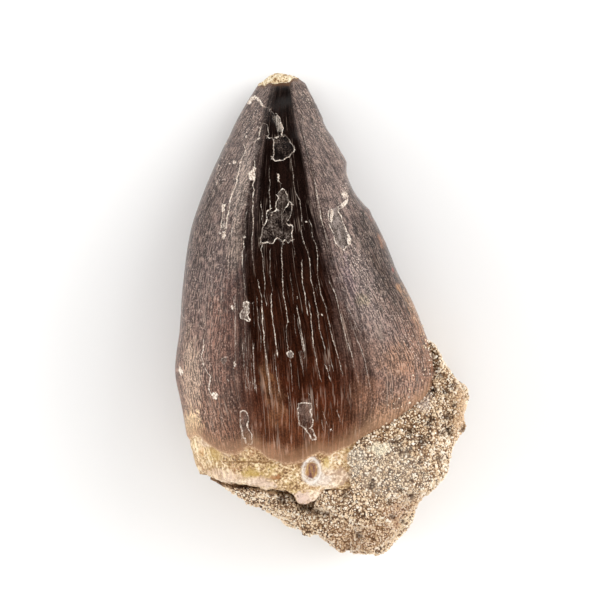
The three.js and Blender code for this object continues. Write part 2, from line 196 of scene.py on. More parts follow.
    (0.4, [(-15.5, 0.2), (-15.1, -0.4), (-14.6, -0.7)]),
    (0.45, [(4.9, -1), (5.6, -2.8), (6.2, -4.2), (6.6, -5.4), (6.8, -6.6), (7.1, -8.2), (7.3, -9)]),
    (0.7, [(1.9, -6.1), (2.1, -6.6)]),
    (0.7, [(2.3, -7.3), (2.4, -7.7)]),
    (0.4, [(2.5, -5.5), (2.8, -6.5)]),
    (0.5, [(3.3, -11.6), (3.6, -12.6)]),
    (0.4, [(1.6, -11.8), (2.1, -13.2)]),
    (0.5, [(1.4, -12.8), (1.6, -13.6)]),
    (0.4, [(0.7, -10.3), (0.8, -10.9)]),
    (0.4, [(0, -9.6), (0.2, -10.2)]),
    (0.35, [(-1.3, -4.6), (-0.8, -6.8)]),
    (0.35, [(-2.7, -9.5), (-2.4, -10.7)]),
    (0.35, [(-6.4, 2), (-6.2, -1), (-5.9, -2.4), (-5.9, -4.2)]),
    (0.4, [(5.6, -7.2), (5.8, -7.9)]),
    (0.35, [(-7.9, 0.1), (-7.8, -2.4), (-7.5, -6), (-7.2, -9.4)]),
    (0.3, [(-9.1, -1.2), (-9, -4.6), (-8.8, -7)]),
]
# Places where a flake of enamel has come off: how pale its rim is, how pale its floor, then its outline.
FLAKES = [
    (0.15, 0.1, [(-4.4, 21.3), (-4.3, 20.5), (-4.4, 19.7), (-4.5, 18.9), (-4.1, 18.6), (-3.2, 18.6),
         (-2.9, 19), (-2.5, 19.1), (-1.9, 19.6), (-1.9, 20), (-2.4, 20.9), (-2.6, 21.3), (-2.9, 21.6),
         (-3.4, 21.7), (-3.8, 21.3)]),
    (0.15, 0.34, [(-3.3, 15.1), (-3, 15.1), (-2.6, 14.3), (-2.6, 13.3), (-2.2, 13.4), (-2.2, 12.6),
         (-2.6, 11.5), (-2.3, 11), (-2.1, 10.3), (-2.2, 9.2), (-2.7, 8.7), (-3.1, 9), (-3.4, 8.7),
         (-3.8, 9.2), (-4.2, 9), (-4.5, 8.6), (-5.8, 8.7), (-5.9, 9.3), (-5.8, 10.3), (-5.2, 11.1),
         (-5.2, 12), (-4.8, 12.7), (-4.5, 12.3), (-4, 12.8), (-4.1, 13.3), (-3.8, 14), (-3.9, 14.4)]),
    (0.15, 0.72, [(2.2, 12.4), (2.6, 12.7), (3.3, 13.1), (3.4, 12.4), (3.8, 11.6), (4.2, 10.5), (4.7, 9.8),
         (4.8, 8.9), (4.2, 7.9), (3.6, 8.2), (3, 8.9), (3, 9.5), (2.4, 10.6)]),
    (0.85, 0.6, [(-8.4, -11.6), (-7.7, -11.5), (-7.3, -12.4), (-7.6, -13.2), (-7, -14.3), (-6.9, -15.4),
         (-7.6, -15.6), (-8, -14.5), (-8.4, -13.2)]),
    (0.8, 0.62, [(-1.4, -10.6), (0.2, -10.6), (0.1, -11.5), (0.4, -12.7), (0.2, -13.5), (-0.6, -13.7),
         (-1.3, -13.1), (-1.4, -11.6)]),
    (0.8, 0.6, [(-0.6, -13.7), (0.2, -13.5), (0.6, -14.3), (0.7, -14.9), (0.2, -15), (-0.1, -14.3)]),
    (0.3, 0.45, [(-10.6, 11.2), (-10.2, 11), (-10.3, 10.2), (-10.8, 10.3)]),
    (0.8, 0.8, [(-2.8, -4.6), (-2.4, -4.3), (-2, -4.6), (-2.1, -5.1), (-2.6, -5.1)]),
    (0.4, 0.6, [(-10.7, -5.2), (-10.2, -5), (-10, -5.5), (-10.4, -6), (-10.6, -5.6)]),
]
# Cream scale that stands on the enamel: closed outlines.
SCALE_PATCHES = [
    [(-6.7, 17.9), (-6.5, 17.6), (-6.6, 17.1), (-6.5, 16.8), (-6.6, 16.2), (-6.9, 16.1), (-7.1, 16.1),
     (-7.4, 16.5), (-7.4, 17.1), (-7, 17.4)],
    [(-10.6, 13.3), (-10.1, 13.2), (-10.2, 12.9), (-10.3, 12.4), (-10.6, 12.5), (-10.6, 12.9)],
    [(-10.5, 10), (-10.1, 10.1), (-10.1, 9.5), (-10.4, 9), (-10.6, 9.2), (-10.5, 9.7)],
    [(-3.9, 16.9), (-3.7, 16.8), (-3.7, 16.3), (-3.9, 16.2)],
    [(-11.9, -9.4), (-11.5, -9.2), (-11, -9.5), (-11.1, -10), (-11.6, -10.1)],
    [(-15.7, -6.1), (-15.4, -6.4), (-15.2, -7), (-15.5, -7.3), (-15.8, -6.7)],
    [(2.6, 12.7), (2.9, 12.7), (2.8, 11.9), (2.6, 11), (2.4, 11.3), (2.5, 12.1)],
    [(3.7, 12.9), (3.6, 13.2), (4.1, 13.7), (4.5, 13.9), (4.5, 13.5), (4.1, 13)],
    [(3.8, 14.6), (4.2, 14.8), (4.5, 14.5), (4.4, 14.1), (4, 14.2)],
    [(4.5, 9.8), (4.7, 9.7), (4.9, 9), (4.9, 8.5), (4.6, 8.3), (4.5, 8.8), (4.5, 9.2)],
    [(-7.6, 25.4), (-7.2, 25.2), (-6.9, 25.7), (-6.4, 26), (-6.6, 26.4), (-7.1, 26.1)],
    [(-6.4, 26.1), (-6.1, 26.1), (-5.9, 25.8), (-6.1, 25.6), (-6.4, 25.8)],
    [(-6, 25.5), (-5.7, 25.5), (-5.6, 25), (-5.9, 25.1)],
]
# Small round spots of the same scale: (x, y, radius).
SCALE_SPOTS = [
    (-10.96, 18, 0.14), (-9.06, 18.36, 0.19), (-9.67, 18.13, 0.1), (-8.57, 19, 0.1), (-11.12, 15.83, 0.15),
    (-10.15, 16.6, 0.08), (-11.6, 14.93, 0.1), (-10.36, 14.62, 0.1), (-10.84, 9.8, 0.14),
    (-7.9, 9.36, 0.16),
    (-7.68, 21.42, 0.12), (-10.08, 20.52, 0.1), (-9.77, -7.8, 0.14), (2.52, -13.8, 0.14), (-4.8, 24.6, 0.1),
    (-0.44, 11.22, 0.13), (-7.56, 21.84, 0.08), (-1.5, 2.03, 0.1), (-3.1, -0.68, 0.1), (-5.2, -0.29, 0.09),
    (1.44, 0.04, 0.11), (2.03, 0.67, 0.12), (-3.41, 7.1, 0.09), (-9.36, 0.98, 0.17),
    (-9.3, 0.5, 0.13), (-8.3, -7.8, 0.12), (-9.1, -5.5, 0.12), (-9.0, -5.9, 0.15), (-9.1, -6.3, 0.12),
]
# A thin film of scale, streaked like the enamel under it: closed outlines.
THIN_SCALE = [
    [(-4.5, 23.9), (-4.1, 23.9), (-3.8, 23.9), (-3.5, 23.3), (-3.3, 22.8), (-3.2, 22.2), (-3.5, 21.9),
     (-3.8, 21.9), (-4, 22.5), (-4.2, 23)],
    [(-8, 1.5), (-7.2, 1.6), (-7.3, 1.1), (-7.6, 0.9), (-7.3, 0.7), (-7.3, 0.3), (-7.6, 0), (-7.2, -0.5),
     (-7.3, -0.8), (-7.9, -0.5), (-8.3, -0.4), (-8.3, 0.2), (-8, 0.6)],
    [(-10.7, 11), (-10.1, 11.1), (-10.2, 10.3), (-10.7, 10.4)],
    [(-10.4, 12.4), (-10.2, 12.4), (-10.3, 11.4), (-10.5, 11.6)],
    [(3.9, 15), (4.6, 14.9), (4.6, 14), (4, 13.9)],
]
# Stains, and patches of painted sheen on the flanks: middle, radii, turn, colour, and how much they cover.
ENAMEL_STAINS_AND_SHEEN = [
    ((9.4, 5.7), (2.2, 8), 0.45, (56, 45, 41), 0.82),
    ((-13.3, 9.6), (1.3, 6.4), -0.22, (76, 64, 60), 0.55),
    # Painted sheen on the right flank.
    ((6.6, 2.4), (2.6, 6.5), 0.42, (122, 111, 108), 0.4),
    ((13, -0.4), (0.55, 4.8), 0.43, (152, 114, 80), 0.65),
    ((9.3, 1.3), (1.3, 3.2), 0.45, (84, 66, 58), 0.5),
    ((8.2, -5.2), (1.5, 2.4), 0.45, (134, 108, 95), 0.4),
    ((-9.3, -1), (1.5, 6.5), 0.04, (84, 50, 39), 0.5),
    ((-8.3, -0.4), (0.7, 4.6), 0.0, (48, 30, 24), 0.55),
    ((7.2, 7.8), (1, 6.6), 0.36, (60, 50, 46), 0.45),
    ((10.9, -5.4), (2.2, 2.4), 0.4, (148, 108, 78), 0.35),
    ((7, -9.4), (2, 2), 0.4, (140, 98, 74), 0.3),
    ((4.3, -3.2), (1, 3.4), 0.35, (96, 74, 66), 0.35),
    ((-0.5, -11.6), (0.7, 1.5), 0.0, (136, 112, 100), 0.4),
    ((-4.2, -16.2), (2.2, 0.9), 0.0, (140, 104, 84), 0.35),
    ((-10.9, -3), (1.3, 6.5), 0.04, (118, 80, 66), 0.4),
    # Painted sheen at the top of a grey strip on the left flank.
    ((-7, 19.8), (0.7, 1.8), -0.25, (140, 126, 120), 0.5),
    ((8.9, 4.8), (0.55, 3.2), 0.57, (56, 40, 33), 0.65),
    ((10.7, 3.1), (0.26, 0.8), 0.5, (142, 106, 76), 0.7),
    ((10, 5.4), (0.12, 0.34), 0.3, (150, 70, 62), 0.7),
    ((8.6, 8.8), (0.4, 1), 0.4, (126, 90, 68), 0.6),
    ((7.2, 11.9), (0.35, 1), 0.45, (104, 72, 60), 0.5),
    ((5.5, 15.2), (0.28, 2), 0.49, (210, 194, 172), 0.8),
    ((4.6, 4.6), (0.6, 3), 0.25, (112, 92, 98), 0.4),
    ((6.3, 1.8), (0.9, 0.8), 0.0, (150, 138, 112), 0.35),
    # These two are painted sheen further down the same grey strip.
    ((-8.2, 15.5), (0.9, 4.6), -0.2, (156, 144, 136), 0.55),
    ((-9, 8.5), (0.8, 3.4), -0.1, (138, 124, 114), 0.4),
    ((-14.2, -7.5), (1.2, 5.5), 0.05, (184, 164, 146), 0.4),
    ((-14.1, -13.2), (1.1, 1.9), 0.0, (212, 188, 150), 0.6),
    ((-4, -10.9), (1.2, 2.8), 0.1, (136, 98, 70), 0.25),
    ((-5.3, -7.6), (0.8, 2.2), 0.1, (110, 76, 50), 0.4),
    ((9.4, -11.8), (3.4, 1.6), 0.5, (140, 106, 78), 0.35),
]
# Where pale specks gather on the enamel: middle, radii, turn, and how thickly.
SPECKLED_PLACES = [
    ((-7.1, 23.2), (1.2, 2.4), -0.45, 0.6),
    ((-0.3, 26), (0.7, 1.8), 0.3, 0.6),
    ((1.2, 22.4), (0.8, 2.6), 0.4, 0.5),
    ((4, 15.4), (0.7, 1.4), 0.4, 0.6),
    ((5.4, 6.4), (1.3, 2.4), 0.4, 0.6),
    ((7.6, 2.2), (1.6, 3.4), 0.45, 0.35),
    ((-10.6, 17), (1, 2.2), -0.4, 0.5),
    ((12.2, -3.6), (0.9, 4.4), 0.45, 0.45),
    ((12.7, 0.4), (0.5, 4), 0.43, 0.7),
]
# Stains of the bone and of the stone, in the same way.
BONE_STAINS = [
    ((-7, -19.1), (1.1, 0.8), 0.0, (188, 156, 80), 0.7),
    ((-11.5, -16.6), (0.9, 1.2), 0.0, (196, 164, 92), 0.6),
    ((2, -17.8), (0.5, 0.8), 0.0, (204, 178, 112), 0.6),
    ((-4.1, -19.4), (0.7, 0.35), 0.0, (160, 102, 56), 0.75),
    ((-13, -16.3), (0.4, 0.7), 0.0, (210, 156, 92), 0.6),
    ((-10.3, -19.2), (2, 0.7), -0.25, (224, 196, 176), 0.75),
    ((-5.8, -20.2), (1.8, 0.6), -0.2, (230, 206, 188), 0.8),
    ((-4.3, -19.1), (0.3, 0.25), 0.0, (246, 224, 182), 0.9),
    ((-6.4, -18), (0.25, 0.2), 0.0, (246, 224, 182), 0.8),
    ((1.4, -19.7), (1.6, 0.7), 0.1, (234, 229, 220), 0.9),
    ((-0.8, -22), (1, 0.9), 0.0, (228, 202, 188), 0.85),
    ((4.3, -17.1), (0.5, 0.45), 0.0, (230, 192, 150), 0.8),
    ((4.3, -19.1), (1.7, 0.22), 0.4, (232, 206, 178), 0.7),
]
STONE_STAINS = [
    ((9, -18.6), (4.8, 3.5), 0.0, (226, 216, 200), 0.28),
    ((5.4, -17.4), (1.4, 1.8), 0.0, (230, 220, 202), 0.35),
    ((8.3, -16.1), (1.3, 0.8), 0.0, (246, 236, 212), 0.8),
    ((13.7, -10.4), (1, 1.3), 0.0, (228, 210, 198), 0.5),
    ((18.2, -12), (1.2, 4), 0.0, (208, 168, 126), 0.45),
    ((6, -26.8), (6, 2), 0.1, (166, 118, 74), 0.32),
    ((10, -24), (1.2, 1.7), 0.0, (168, 116, 80), 0.38),
    ((11.8, -22.6), (1.6, 1.4), 0.0, (178, 132, 96), 0.3),
    ((11.8, -25.2), (0.7, 1.7), -0.6, (236, 218, 182), 0.5),
]
# Where the enamel ends on the lip side, from the left cutting edge to the stone.
ENAMEL_MARGIN = [(-14.7, -13.9), (-13.2, -14.4), (-12, -15.5), (-10.7, -16.3), (-8.8, -16.6), (-8, -16.1),
                 (-7.2, -15.6), (-6.2, -15.9), (-5.5, -16.6), (-4.8, -17), (-2.8, -17.6), (-1.1, -17.4),
                 (-0.1, -16.8), (0.9, -16.3), (2.2, -16.6), (3.4, -16), (4.6, -15.5), (6.8, -14.2),
                 (10.8, -12.6)]
# Pale crust on the root collar: closed outlines.
CRUST_PATCHES = [
    [(-13.2, -14.2), (-12, -14.6), (-11.6, -15.4), (-12.4, -16), (-13.3, -15.2)],
    [(-10.6, -15.9), (-9.6, -16.2), (-8.7, -16.5), (-9.6, -16.9), (-10.6, -16.6)],
    [(-11.5, -19.5), (-7, -19.4), (-4.8, -19.5), (-4.6, -20.3), (-7, -20.3), (-11, -20.2)],
    [(-0.4, -21.2), (1.8, -21), (2, -22.4), (0.9, -23), (0, -22.4)],
    [(1.6, -18), (3.8, -18.4), (5, -19.4), (3, -20.8), (0.6, -20.6), (1, -19.8)],
]
FORAMEN = (0.18, -18.65)  # middle of the oval canal in the collar
FORAMEN_RADII = (0.75, 1.02)
# A dark seam along the collar.
COLLAR_SEAM = [(-10.1, -17.7), (-7.4, -17.6), (-4.6, -17.8), (-2.6, -17.7), (-1.6, -17.9)]

# ---------------------------------------------------------------- helpers: shapes


def smooth_line(points):
    """A smooth line through given points, read as value(y)."""
    at, value = np.array(points, float).T
    count = len(at)
    before = np.maximum(np.arange(count) - 1, 0)
    after = np.minimum(np.arange(count) + 1, count - 1)
    slope = (value[after] - value[before]) / (at[after] - at[before])

    def read(y):
        i = np.clip(np.searchsorted(at, y, side="right") - 1, 0, count - 2)
        span = at[i + 1] - at[i]
        t = np.clip((y - at[i]) / span, 0, 1)
        ease = t * t * (3 - 2 * t)
        leave = t * (1 - t) ** 2 * span * slope[i]
        arrive = t * t * (t - 1) * span * slope[i + 1]
        return value[i] + (value[i + 1] - value[i]) * ease + leave + arrive

    return read


def smooth_step(value, low, high):
    """Eases from 0 at low to 1 at high, and stays there beyond them."""
    t = np.clip((value - low) / (high - low), 0, 1)
    return t * t * (3 - 2 * t)


def noise_at(points, waves, shift=0.0):
    """Smooth noise from about -1 to 1 at each point, with so many waves to a millimetre."""
    return np.array([noise.noise(p) for p in (points * waves + shift).tolist()])


def distance_to_line(points, line, closed=False):
    """How far each (x, y) point is from a line of points, and whether it is inside a closed one."""
    ends = np.array(line, float)
    starts = ends if closed else ends[:-1]
    stops = np.roll(ends, -1, axis=0) if closed else ends[1:]
    nearest = np.full(len(points), 1e9)
    inside = np.zeros(len(points), bool)
    for a, b in zip(starts, stops):
        along = b - a
        t = np.clip((points - a) @ along / (along @ along), 0, 1)
        nearest = np.minimum(nearest, np.hypot(*(points - a - t[:, None] * along).T))
        crosses = (a[1] > points[:, 1]) != (b[1] > points[:, 1])
        rise = along[1] if along[1] else 1e-9
        inside ^= crosses & (points[:, 0] < a[0] + along[0] * (points[:, 1] - a[1]) / rise)
    return nearest, inside


def beside_lines(points, lines):
    """Beside the nearest line: the signed distance to it, the plain distance, and how boldly it shows."""
    beside = np.full((len(points), 3), FAR)
    for boldness, line in lines:
        ends = np.array(line, float)
        for a, b in zip(ends[:-1], ends[1:]):
            along = b - a
            t = np.clip((points - a) @ along / (along @ along), 0, 1)
            offset = points - a - t[:, None] * along
            away = np.hypot(*offset.T)
            signed = away * np.sign(along[0] * offset[:, 1] - along[1] * offset[:, 0])
            nearer = away < beside[:, 1]
            beside[nearer] = np.column_stack([signed, away, np.full(len(points), boldness)])[nearer]
    return beside


def spread_lines(lines, groups, apart):
    """Deals the lines out so that those of one group don't run close together."""
    dealt = [[] for _ in range(groups)]
    for boldness, line in lines:
        room = [min([np.hypot(*(np.array(line)[:, None] - np.array(other)[None]).reshape(-1, 2).T).min()
                     for _, other in group], default=99) for group in dealt]
        first_free = next((i for i, gap in enumerate(room) if gap > apart), int(np.argmax(room)))
        dealt[first_free].append((boldness, line))
    return dealt


def depth_in_outlines(points, outlines):
    """Distance to the nearest closed outline, negative inside it, and which outline that is."""
    signed = []
    for outline in outlines:
        away, inside = distance_to_line(points, outline, closed=True)
        signed.append(np.where(inside, -away, away))
    return np.min(signed, axis=0), np.argmin(signed, axis=0)


def on_plan(points):
    """Where the eye sees each point on the plan level, in the outlines' own millimetres."""
    scale = (EYE[2] - PLAN_LEVEL) / (EYE[2] - points[:, 2])
    return EYE[:2] + (points[:, :2] - EYE[:2]) * scale[:, None] - ORIGIN[:2]


def mesh_from(name, points, faces):
    """A new object of these points (mm) and faces, smooth shaded."""
    mesh = bpy.data.meshes.new(name)
    mesh.from_pydata((points * MM).tolist(), [], faces)
    mesh.shade_smooth()
    thing = bpy.data.objects.new(name, mesh)
    bpy.context.scene.collection.objects.link(thing)
    return thing


def set_points(mesh, points):
    mesh.vertices.foreach_set("co", (points * MM).astype(np.float32).ravel())
    mesh.update()


def points_of(mesh):
    flat = np.zeros(len(mesh.vertices) * 3, np.float32)
    mesh.vertices.foreach_get("co", flat)
    return flat.reshape(-1, 3).astype(float) / MM


def normals_of(mesh):
    flat = np.zeros(len(mesh.vertices) * 3, np.float32)
    mesh.vertex_normals.foreach_get("vector", flat)
    return flat.reshape(-1, 3).astype(float)


def give(mesh, name, values):
    """Keeps one number or one vector for every point of the mesh, for its materials to read."""
    values = np.asarray(values, np.float32)
    kind = "FLOAT" if values.ndim == 1 else "FLOAT_VECTOR"
    attribute = mesh.attributes.new(name, kind, "POINT")
    attribute.data.foreach_set("value" if values.ndim == 1 else "vector", values.ravel())


# ---------------------------------------------------------------- helpers: materials


class Graph:
    """Adds nodes to a node tree. An input is given as a socket of another node, or as a plain value."""

    def __init__(self, tree):
        self.tree = tree

    def add(self, kind, inputs=None, **settings):
        node = self.tree.nodes.new(kind)
        for name, value in settings.items():
            setattr(node, name, value)
        for name, value in (inputs or {}).items():
            self.feed(node.inputs[name], value)
        return node

    def feed(self, socket, value):
        if isinstance(value, bpy.types.NodeSocket):
            self.tree.links.new(value, socket)
        elif value is not None:
            socket.default_value = value

    def read(self, name, vector=False):
        """A number or vector that give() kept on the mesh."""
        node = self.add("ShaderNodeAttribute", attribute_name=name)
        return node.outputs["Vector" if vector else "Fac"]

    def own_place(self):
        """Where each point lies, in millimetres."""
        return self.times(self.add("ShaderNodeTexCoord").outputs["Object"], (1 / MM, 1 / MM, 1 / MM))

    def math(self, operation, *values, clamp=False):
        inputs = dict(enumerate(values))
        return self.add("ShaderNodeMath", inputs, operation=operation, use_clamp=clamp).outputs[0]

    def product(self, result, *others):
        for value in others:
            result = self.math("MULTIPLY", result, value)
        return result

    def most(self, result, *others):
        """The greatest of them at each place."""
        for value in others:
            result = self.math("MAXIMUM", result, value)
        return result

    def total(self, base, *parts):
        """The base, plus each part's value times its amount."""
        for value, amount in parts:
            base = self.math("MULTIPLY_ADD", value, amount, base)
        return base

    def stir(self, base, *noises):
        """The base, plus each noise's swing about its middle, 0.5, times its amount."""
        return self.total(base, *((self.math("SUBTRACT", value, 0.5), amount) for value, amount in noises))

    def times(self, vector, factors):
        node = self.add("ShaderNodeVectorMath", {0: vector, 1: factors}, operation="MULTIPLY")
        return node.outputs["Vector"]

    def split(self, vector):
        return self.add("ShaderNodeSeparateXYZ", {0: vector}).outputs

    def span(self, value, low, high, to_low=0.0, to_high=1.0, smooth=True):
        """Maps low..high to to_low..to_high, held at its ends."""
        kind = "SMOOTHSTEP" if smooth else "LINEAR"
        inputs = {"Value": value, "From Min": low, "From Max": high, "To Min": to_low, "To Max": to_high}
        return self.add("ShaderNodeMapRange", inputs, interpolation_type=kind).outputs[0]

    def noise(self, vector, scale, detail=2.0, roughness=0.5, stretch=None):
        """Smooth noise from 0 to 1, drawn out along each axis whose factor in stretch is small."""
        place = vector if stretch is None else self.times(vector, stretch)
        inputs = {"Vector": place, "Scale": scale, "Detail": detail, "Roughness": roughness}
        return self.add("ShaderNodeTexNoise", inputs).outputs["Fac"]

    def cells(self, vector, scale, feature="F1"):
        return self.add("ShaderNodeTexVoronoi", {"Vector": vector, "Scale": scale}, feature=feature).outputs

    def blend(self, factor, low, high):
        """Between two numbers."""
        node = self.add("ShaderNodeMix", data_type="FLOAT")
        for socket, value in zip((node.inputs[0], node.inputs[2], node.inputs[3]), (factor, low, high)):
            self.feed(socket, value)
        return node.outputs[0]

    def mix(self, factor, low, high, blend="MIX"):
        """Between two colours."""
        node = self.add("ShaderNodeMix", data_type="RGBA", blend_type=blend)
        for socket, value in zip((node.inputs[0], node.inputs[6], node.inputs[7]), (factor, low, high)):
            self.feed(socket, value)
        return node.outputs[2]

    def lay(self, colour, tint, mask, cover=None):
        """Lays a tint over a colour where the mask is, and only so much of it where cover is given."""
        return self.mix(mask if cover is None else self.product(mask, cover), colour, tint)

    def ramp(self, factor, stops):
        node = self.add("ShaderNodeValToRGB", {0: factor})
        band = node.color_ramp
        while len(band.elements) < len(stops):
            band.elements.new(0.5)
        for element, (at, colour) in zip(band.elements, stops):
            element.position = at
            element.color = colour
        return node.outputs[0]

    def bump(self, height, depth, strength):
        inputs = {"Height": height, "Distance": depth * MM, "Strength": strength}
        return self.add("ShaderNodeBump", inputs).outputs[0]

    def place(self, group, **inputs):
        """Puts a shared effect here: each input goes by its socket's name, in small letters."""
        node = self.add("ShaderNodeGroup")
        node.node_tree = group
        for name, value in inputs.items():
            self.feed(node.inputs[name.replace("_", " ").capitalize()], value)
        return node.outputs


def srgb(red, green, blue):
    """A colour from its usual 0..255 numbers, as the shaders' linear one."""
    shares = [value / 255 for value in (red, green, blue)]
    linear = [v / 12.92 if v <= 10 / 255 else ((v + 0.055) / 1.055) ** 2.4 for v in shares]
    return (*linear, 1.0)


def effect(name, inputs, outputs):
    """An empty node group. inputs and outputs are (name, socket kind, default)."""
    tree = bpy.data.node_groups.new(name, "ShaderNodeTree")
    for direction, sockets in (("INPUT", inputs), ("OUTPUT", outputs)):
        for label, kind, default in sockets:
            kind = f"NodeSocket{kind}"
            socket = tree.interface.new_socket(name=label, in_out=direction, socket_type=kind)
            if default is not None:
                socket.default_value = default
    graph = Graph(tree)
    return tree, graph, graph.add("NodeGroupInput").outputs, graph.add("NodeGroupOutput").inputs


def material(name):
    """A new material: itself, its graph, and the inputs of its shader."""
    made = bpy.data.materials.new(name)
    made.use_nodes = True
    made.node_tree.nodes.clear()
    graph = Graph(made.node_tree)
    shader = graph.add("ShaderNodeBsdfPrincipled")
    output = graph.add("ShaderNodeOutputMaterial")
    graph.feed(output.inputs["Surface"], shader.outputs[0])
    return made, graph, shader.inputs


# ---------------------------------------------------------------- tooth
# The skin is rows of points, which start in the broken end and close over the tip.
BREAK_ROWS = 18
COLLAR_ROWS = 44
ENAMEL_ROWS = 198
TIP_ROWS = 14
TIP_STEEPNESS = 4
FINE_COLUMNS = 262  # over the lip side
COARSE_COLUMNS = 78  # over the side that it lies on
LIP_FROM = math.radians(-12)
LIP_TO = math.radians(192)
ROOT_TONGUE = (1.61, 0.14, 2.2)  # where it hangs round the root, how wide (radians), and how far down
ROOT_REACH = 1.2  # how far the broken end hangs below ROOT_Y, on the whole
EDGE_HEIGHT = 12.0  # the cutting edges' height, on the whole
MARGIN_WAVE = 0.12  # how far the enamel's lower edge wanders from its line
FIRST_ENAMEL = 0.06  # from that edge to the first row of enamel
FLOW_RADIUS = 13.0
CRACK_GROUPS = 3
CRACKS_APART = 0.7  # at least, within a group
WORN_FROM = 27.85  # the Y where the enamel stops at the tip
MAP_BORDER = 0.004
ROUNDED_BREAK = (0.9, 0.45)  # the collar's broken end is rounded over this length, by this much
ROUNDED_TIP = (0.7, 0.12)
TIP_REACH = 0.8  # how far the crest stands above TIP_Y, on the whole
# How far each kind of fine relief stands out of the skin, or sinks into it.
RELIEF = {
    "streak": 0.012, "waviness": 0.035, "flake": 0.07, "scale": 0.05, "crack": 0.02, "nick": 0.08,
    "frayed_edge": 0.04, "worn_tip": 0.22, "dentine": 0.14, "bone": 0.16, "crust": 0.14, "seam": 0.1,
    "canal_rim": 0.1, "canal": 0.45, "broken_end": 0.55,
}

left_edge, right_edge = smooth_line(LEFT_EDGE), smooth_line(RIGHT_EDGE)
tip_crest = smooth_line(TIP_CREST)
lip_line, tongue_line = smooth_line(LIP_LINE), smooth_line(TONGUE_LINE)


def section_at(y, lip_side):
    """The section at one Y: its middle, half width, and half depth on the side asked for."""
    left, right = left_edge(y), right_edge(y)
    low, high = tongue_line(y), lip_line(y)
    middle_z = low + CARINA_LEVEL * (high - low)
    depth = np.where(lip_side, high - middle_z, middle_z - low)
    return (left + right) / 2, middle_z, (right - left) / 2, depth


def edge_chip(y):
    """How far the chips bite into the right cutting edge."""
    total = np.zeros_like(y)
    for middle, half, depth in EDGE_CHIPS:
        total += depth * np.clip(1 - ((y - middle) / half) ** 2, 0, None)
    return total


def tooth_point(theta, y, lift):
    """theta runs from the right cutting edge (0) over the lip side to the left one (a half turn)."""
    c, s = np.cos(theta), np.sin(theta)
    middle_x, middle_z, half_width, half_depth = section_at(y, s >= 0)
    show = smooth_step(y, FACETS_START, FACETS_FULL)
    facet = -FACET_DEPTH * show * np.cos(FACETS * (theta - math.pi / 2))
    carina = CARINA_RIDGE * np.exp(-2 * (1 - np.abs(c)) / CARINA_SPREAD**2)
    swell = 1 + facet * np.abs(s) + carina - CARINA_RIDGE
    chip = np.where(c > 0, edge_chip(y) * c**6, 0)
    x = middle_x + (half_width * swell + lift - chip) * c
    z = middle_z + (half_depth * swell + lift) * s
    return np.stack([x, y, z], axis=-1) + ORIGIN


def rounding(from_end, length, most):
    """How far a quarter-round edge falls in, at each distance from the end."""
    t = np.clip(1 - from_end / length, 0, 1)
    return most * (1 - np.sqrt(1 - t * t))


def plain_margin(theta):
    """Y of the enamel's lower edge as a plain wave, all the way round."""
    return -13.7 + 3.15 * np.cos(theta) + 2.1 * np.cos(2 * theta) - 1.8 * np.sin(theta)


def enamel_margin(theta):
    """Y of the enamel's lower edge: as drawn on the lip side, plain on the other."""
    x, y = np.array(ENAMEL_MARGIN).T
    middle_x, _, half_width, _ = section_at(y, True)
    turn = np.arccos(np.clip((x - middle_x) / half_width, -1, 1))
    order = np.argsort(turn)
    drawn = np.interp(theta, turn[order], y[order])
    share = smooth_step(theta, 0.55, 0.8) * (1 - smooth_step(theta, 2.75, 3.1))
    return plain_margin(theta) + share * (drawn - plain_margin(theta))


def root_end(theta):
    """Y of the collar's broken end, which hangs down in a tongue below the canal."""
    middle, width, length = ROOT_TONGUE
    tongue = length * np.exp(-(((theta - middle) / width) ** 2))
    breaks = 0.15 * np.sin(9 * theta) + 0.2 * np.sin(5 * theta)
    return ROOT_Y - 0.9 * np.sin(theta) + 0.6 * np.cos(theta) ** 2 + breaks - tongue


def depth_in_tooth(points):
    """Roughly how deep each place is inside the tooth, negative outside it."""
    x, y, z = (points - ORIGIN).T
    y_in = np.clip(y, ROOT_Y, TIP_Y)
    middle_x, middle_z, half_width, half_depth = section_at(y_in, z > EDGE_HEIGHT)
    outwards = np.hypot((x - middle_x) / half_width, (z - middle_z) / half_depth)
    depth = (1 - outwards) * np.minimum(half_width, half_depth)
    return np.minimum(depth, np.minimum(y - ROOT_Y + ROOT_REACH, TIP_Y + TIP_REACH - y))


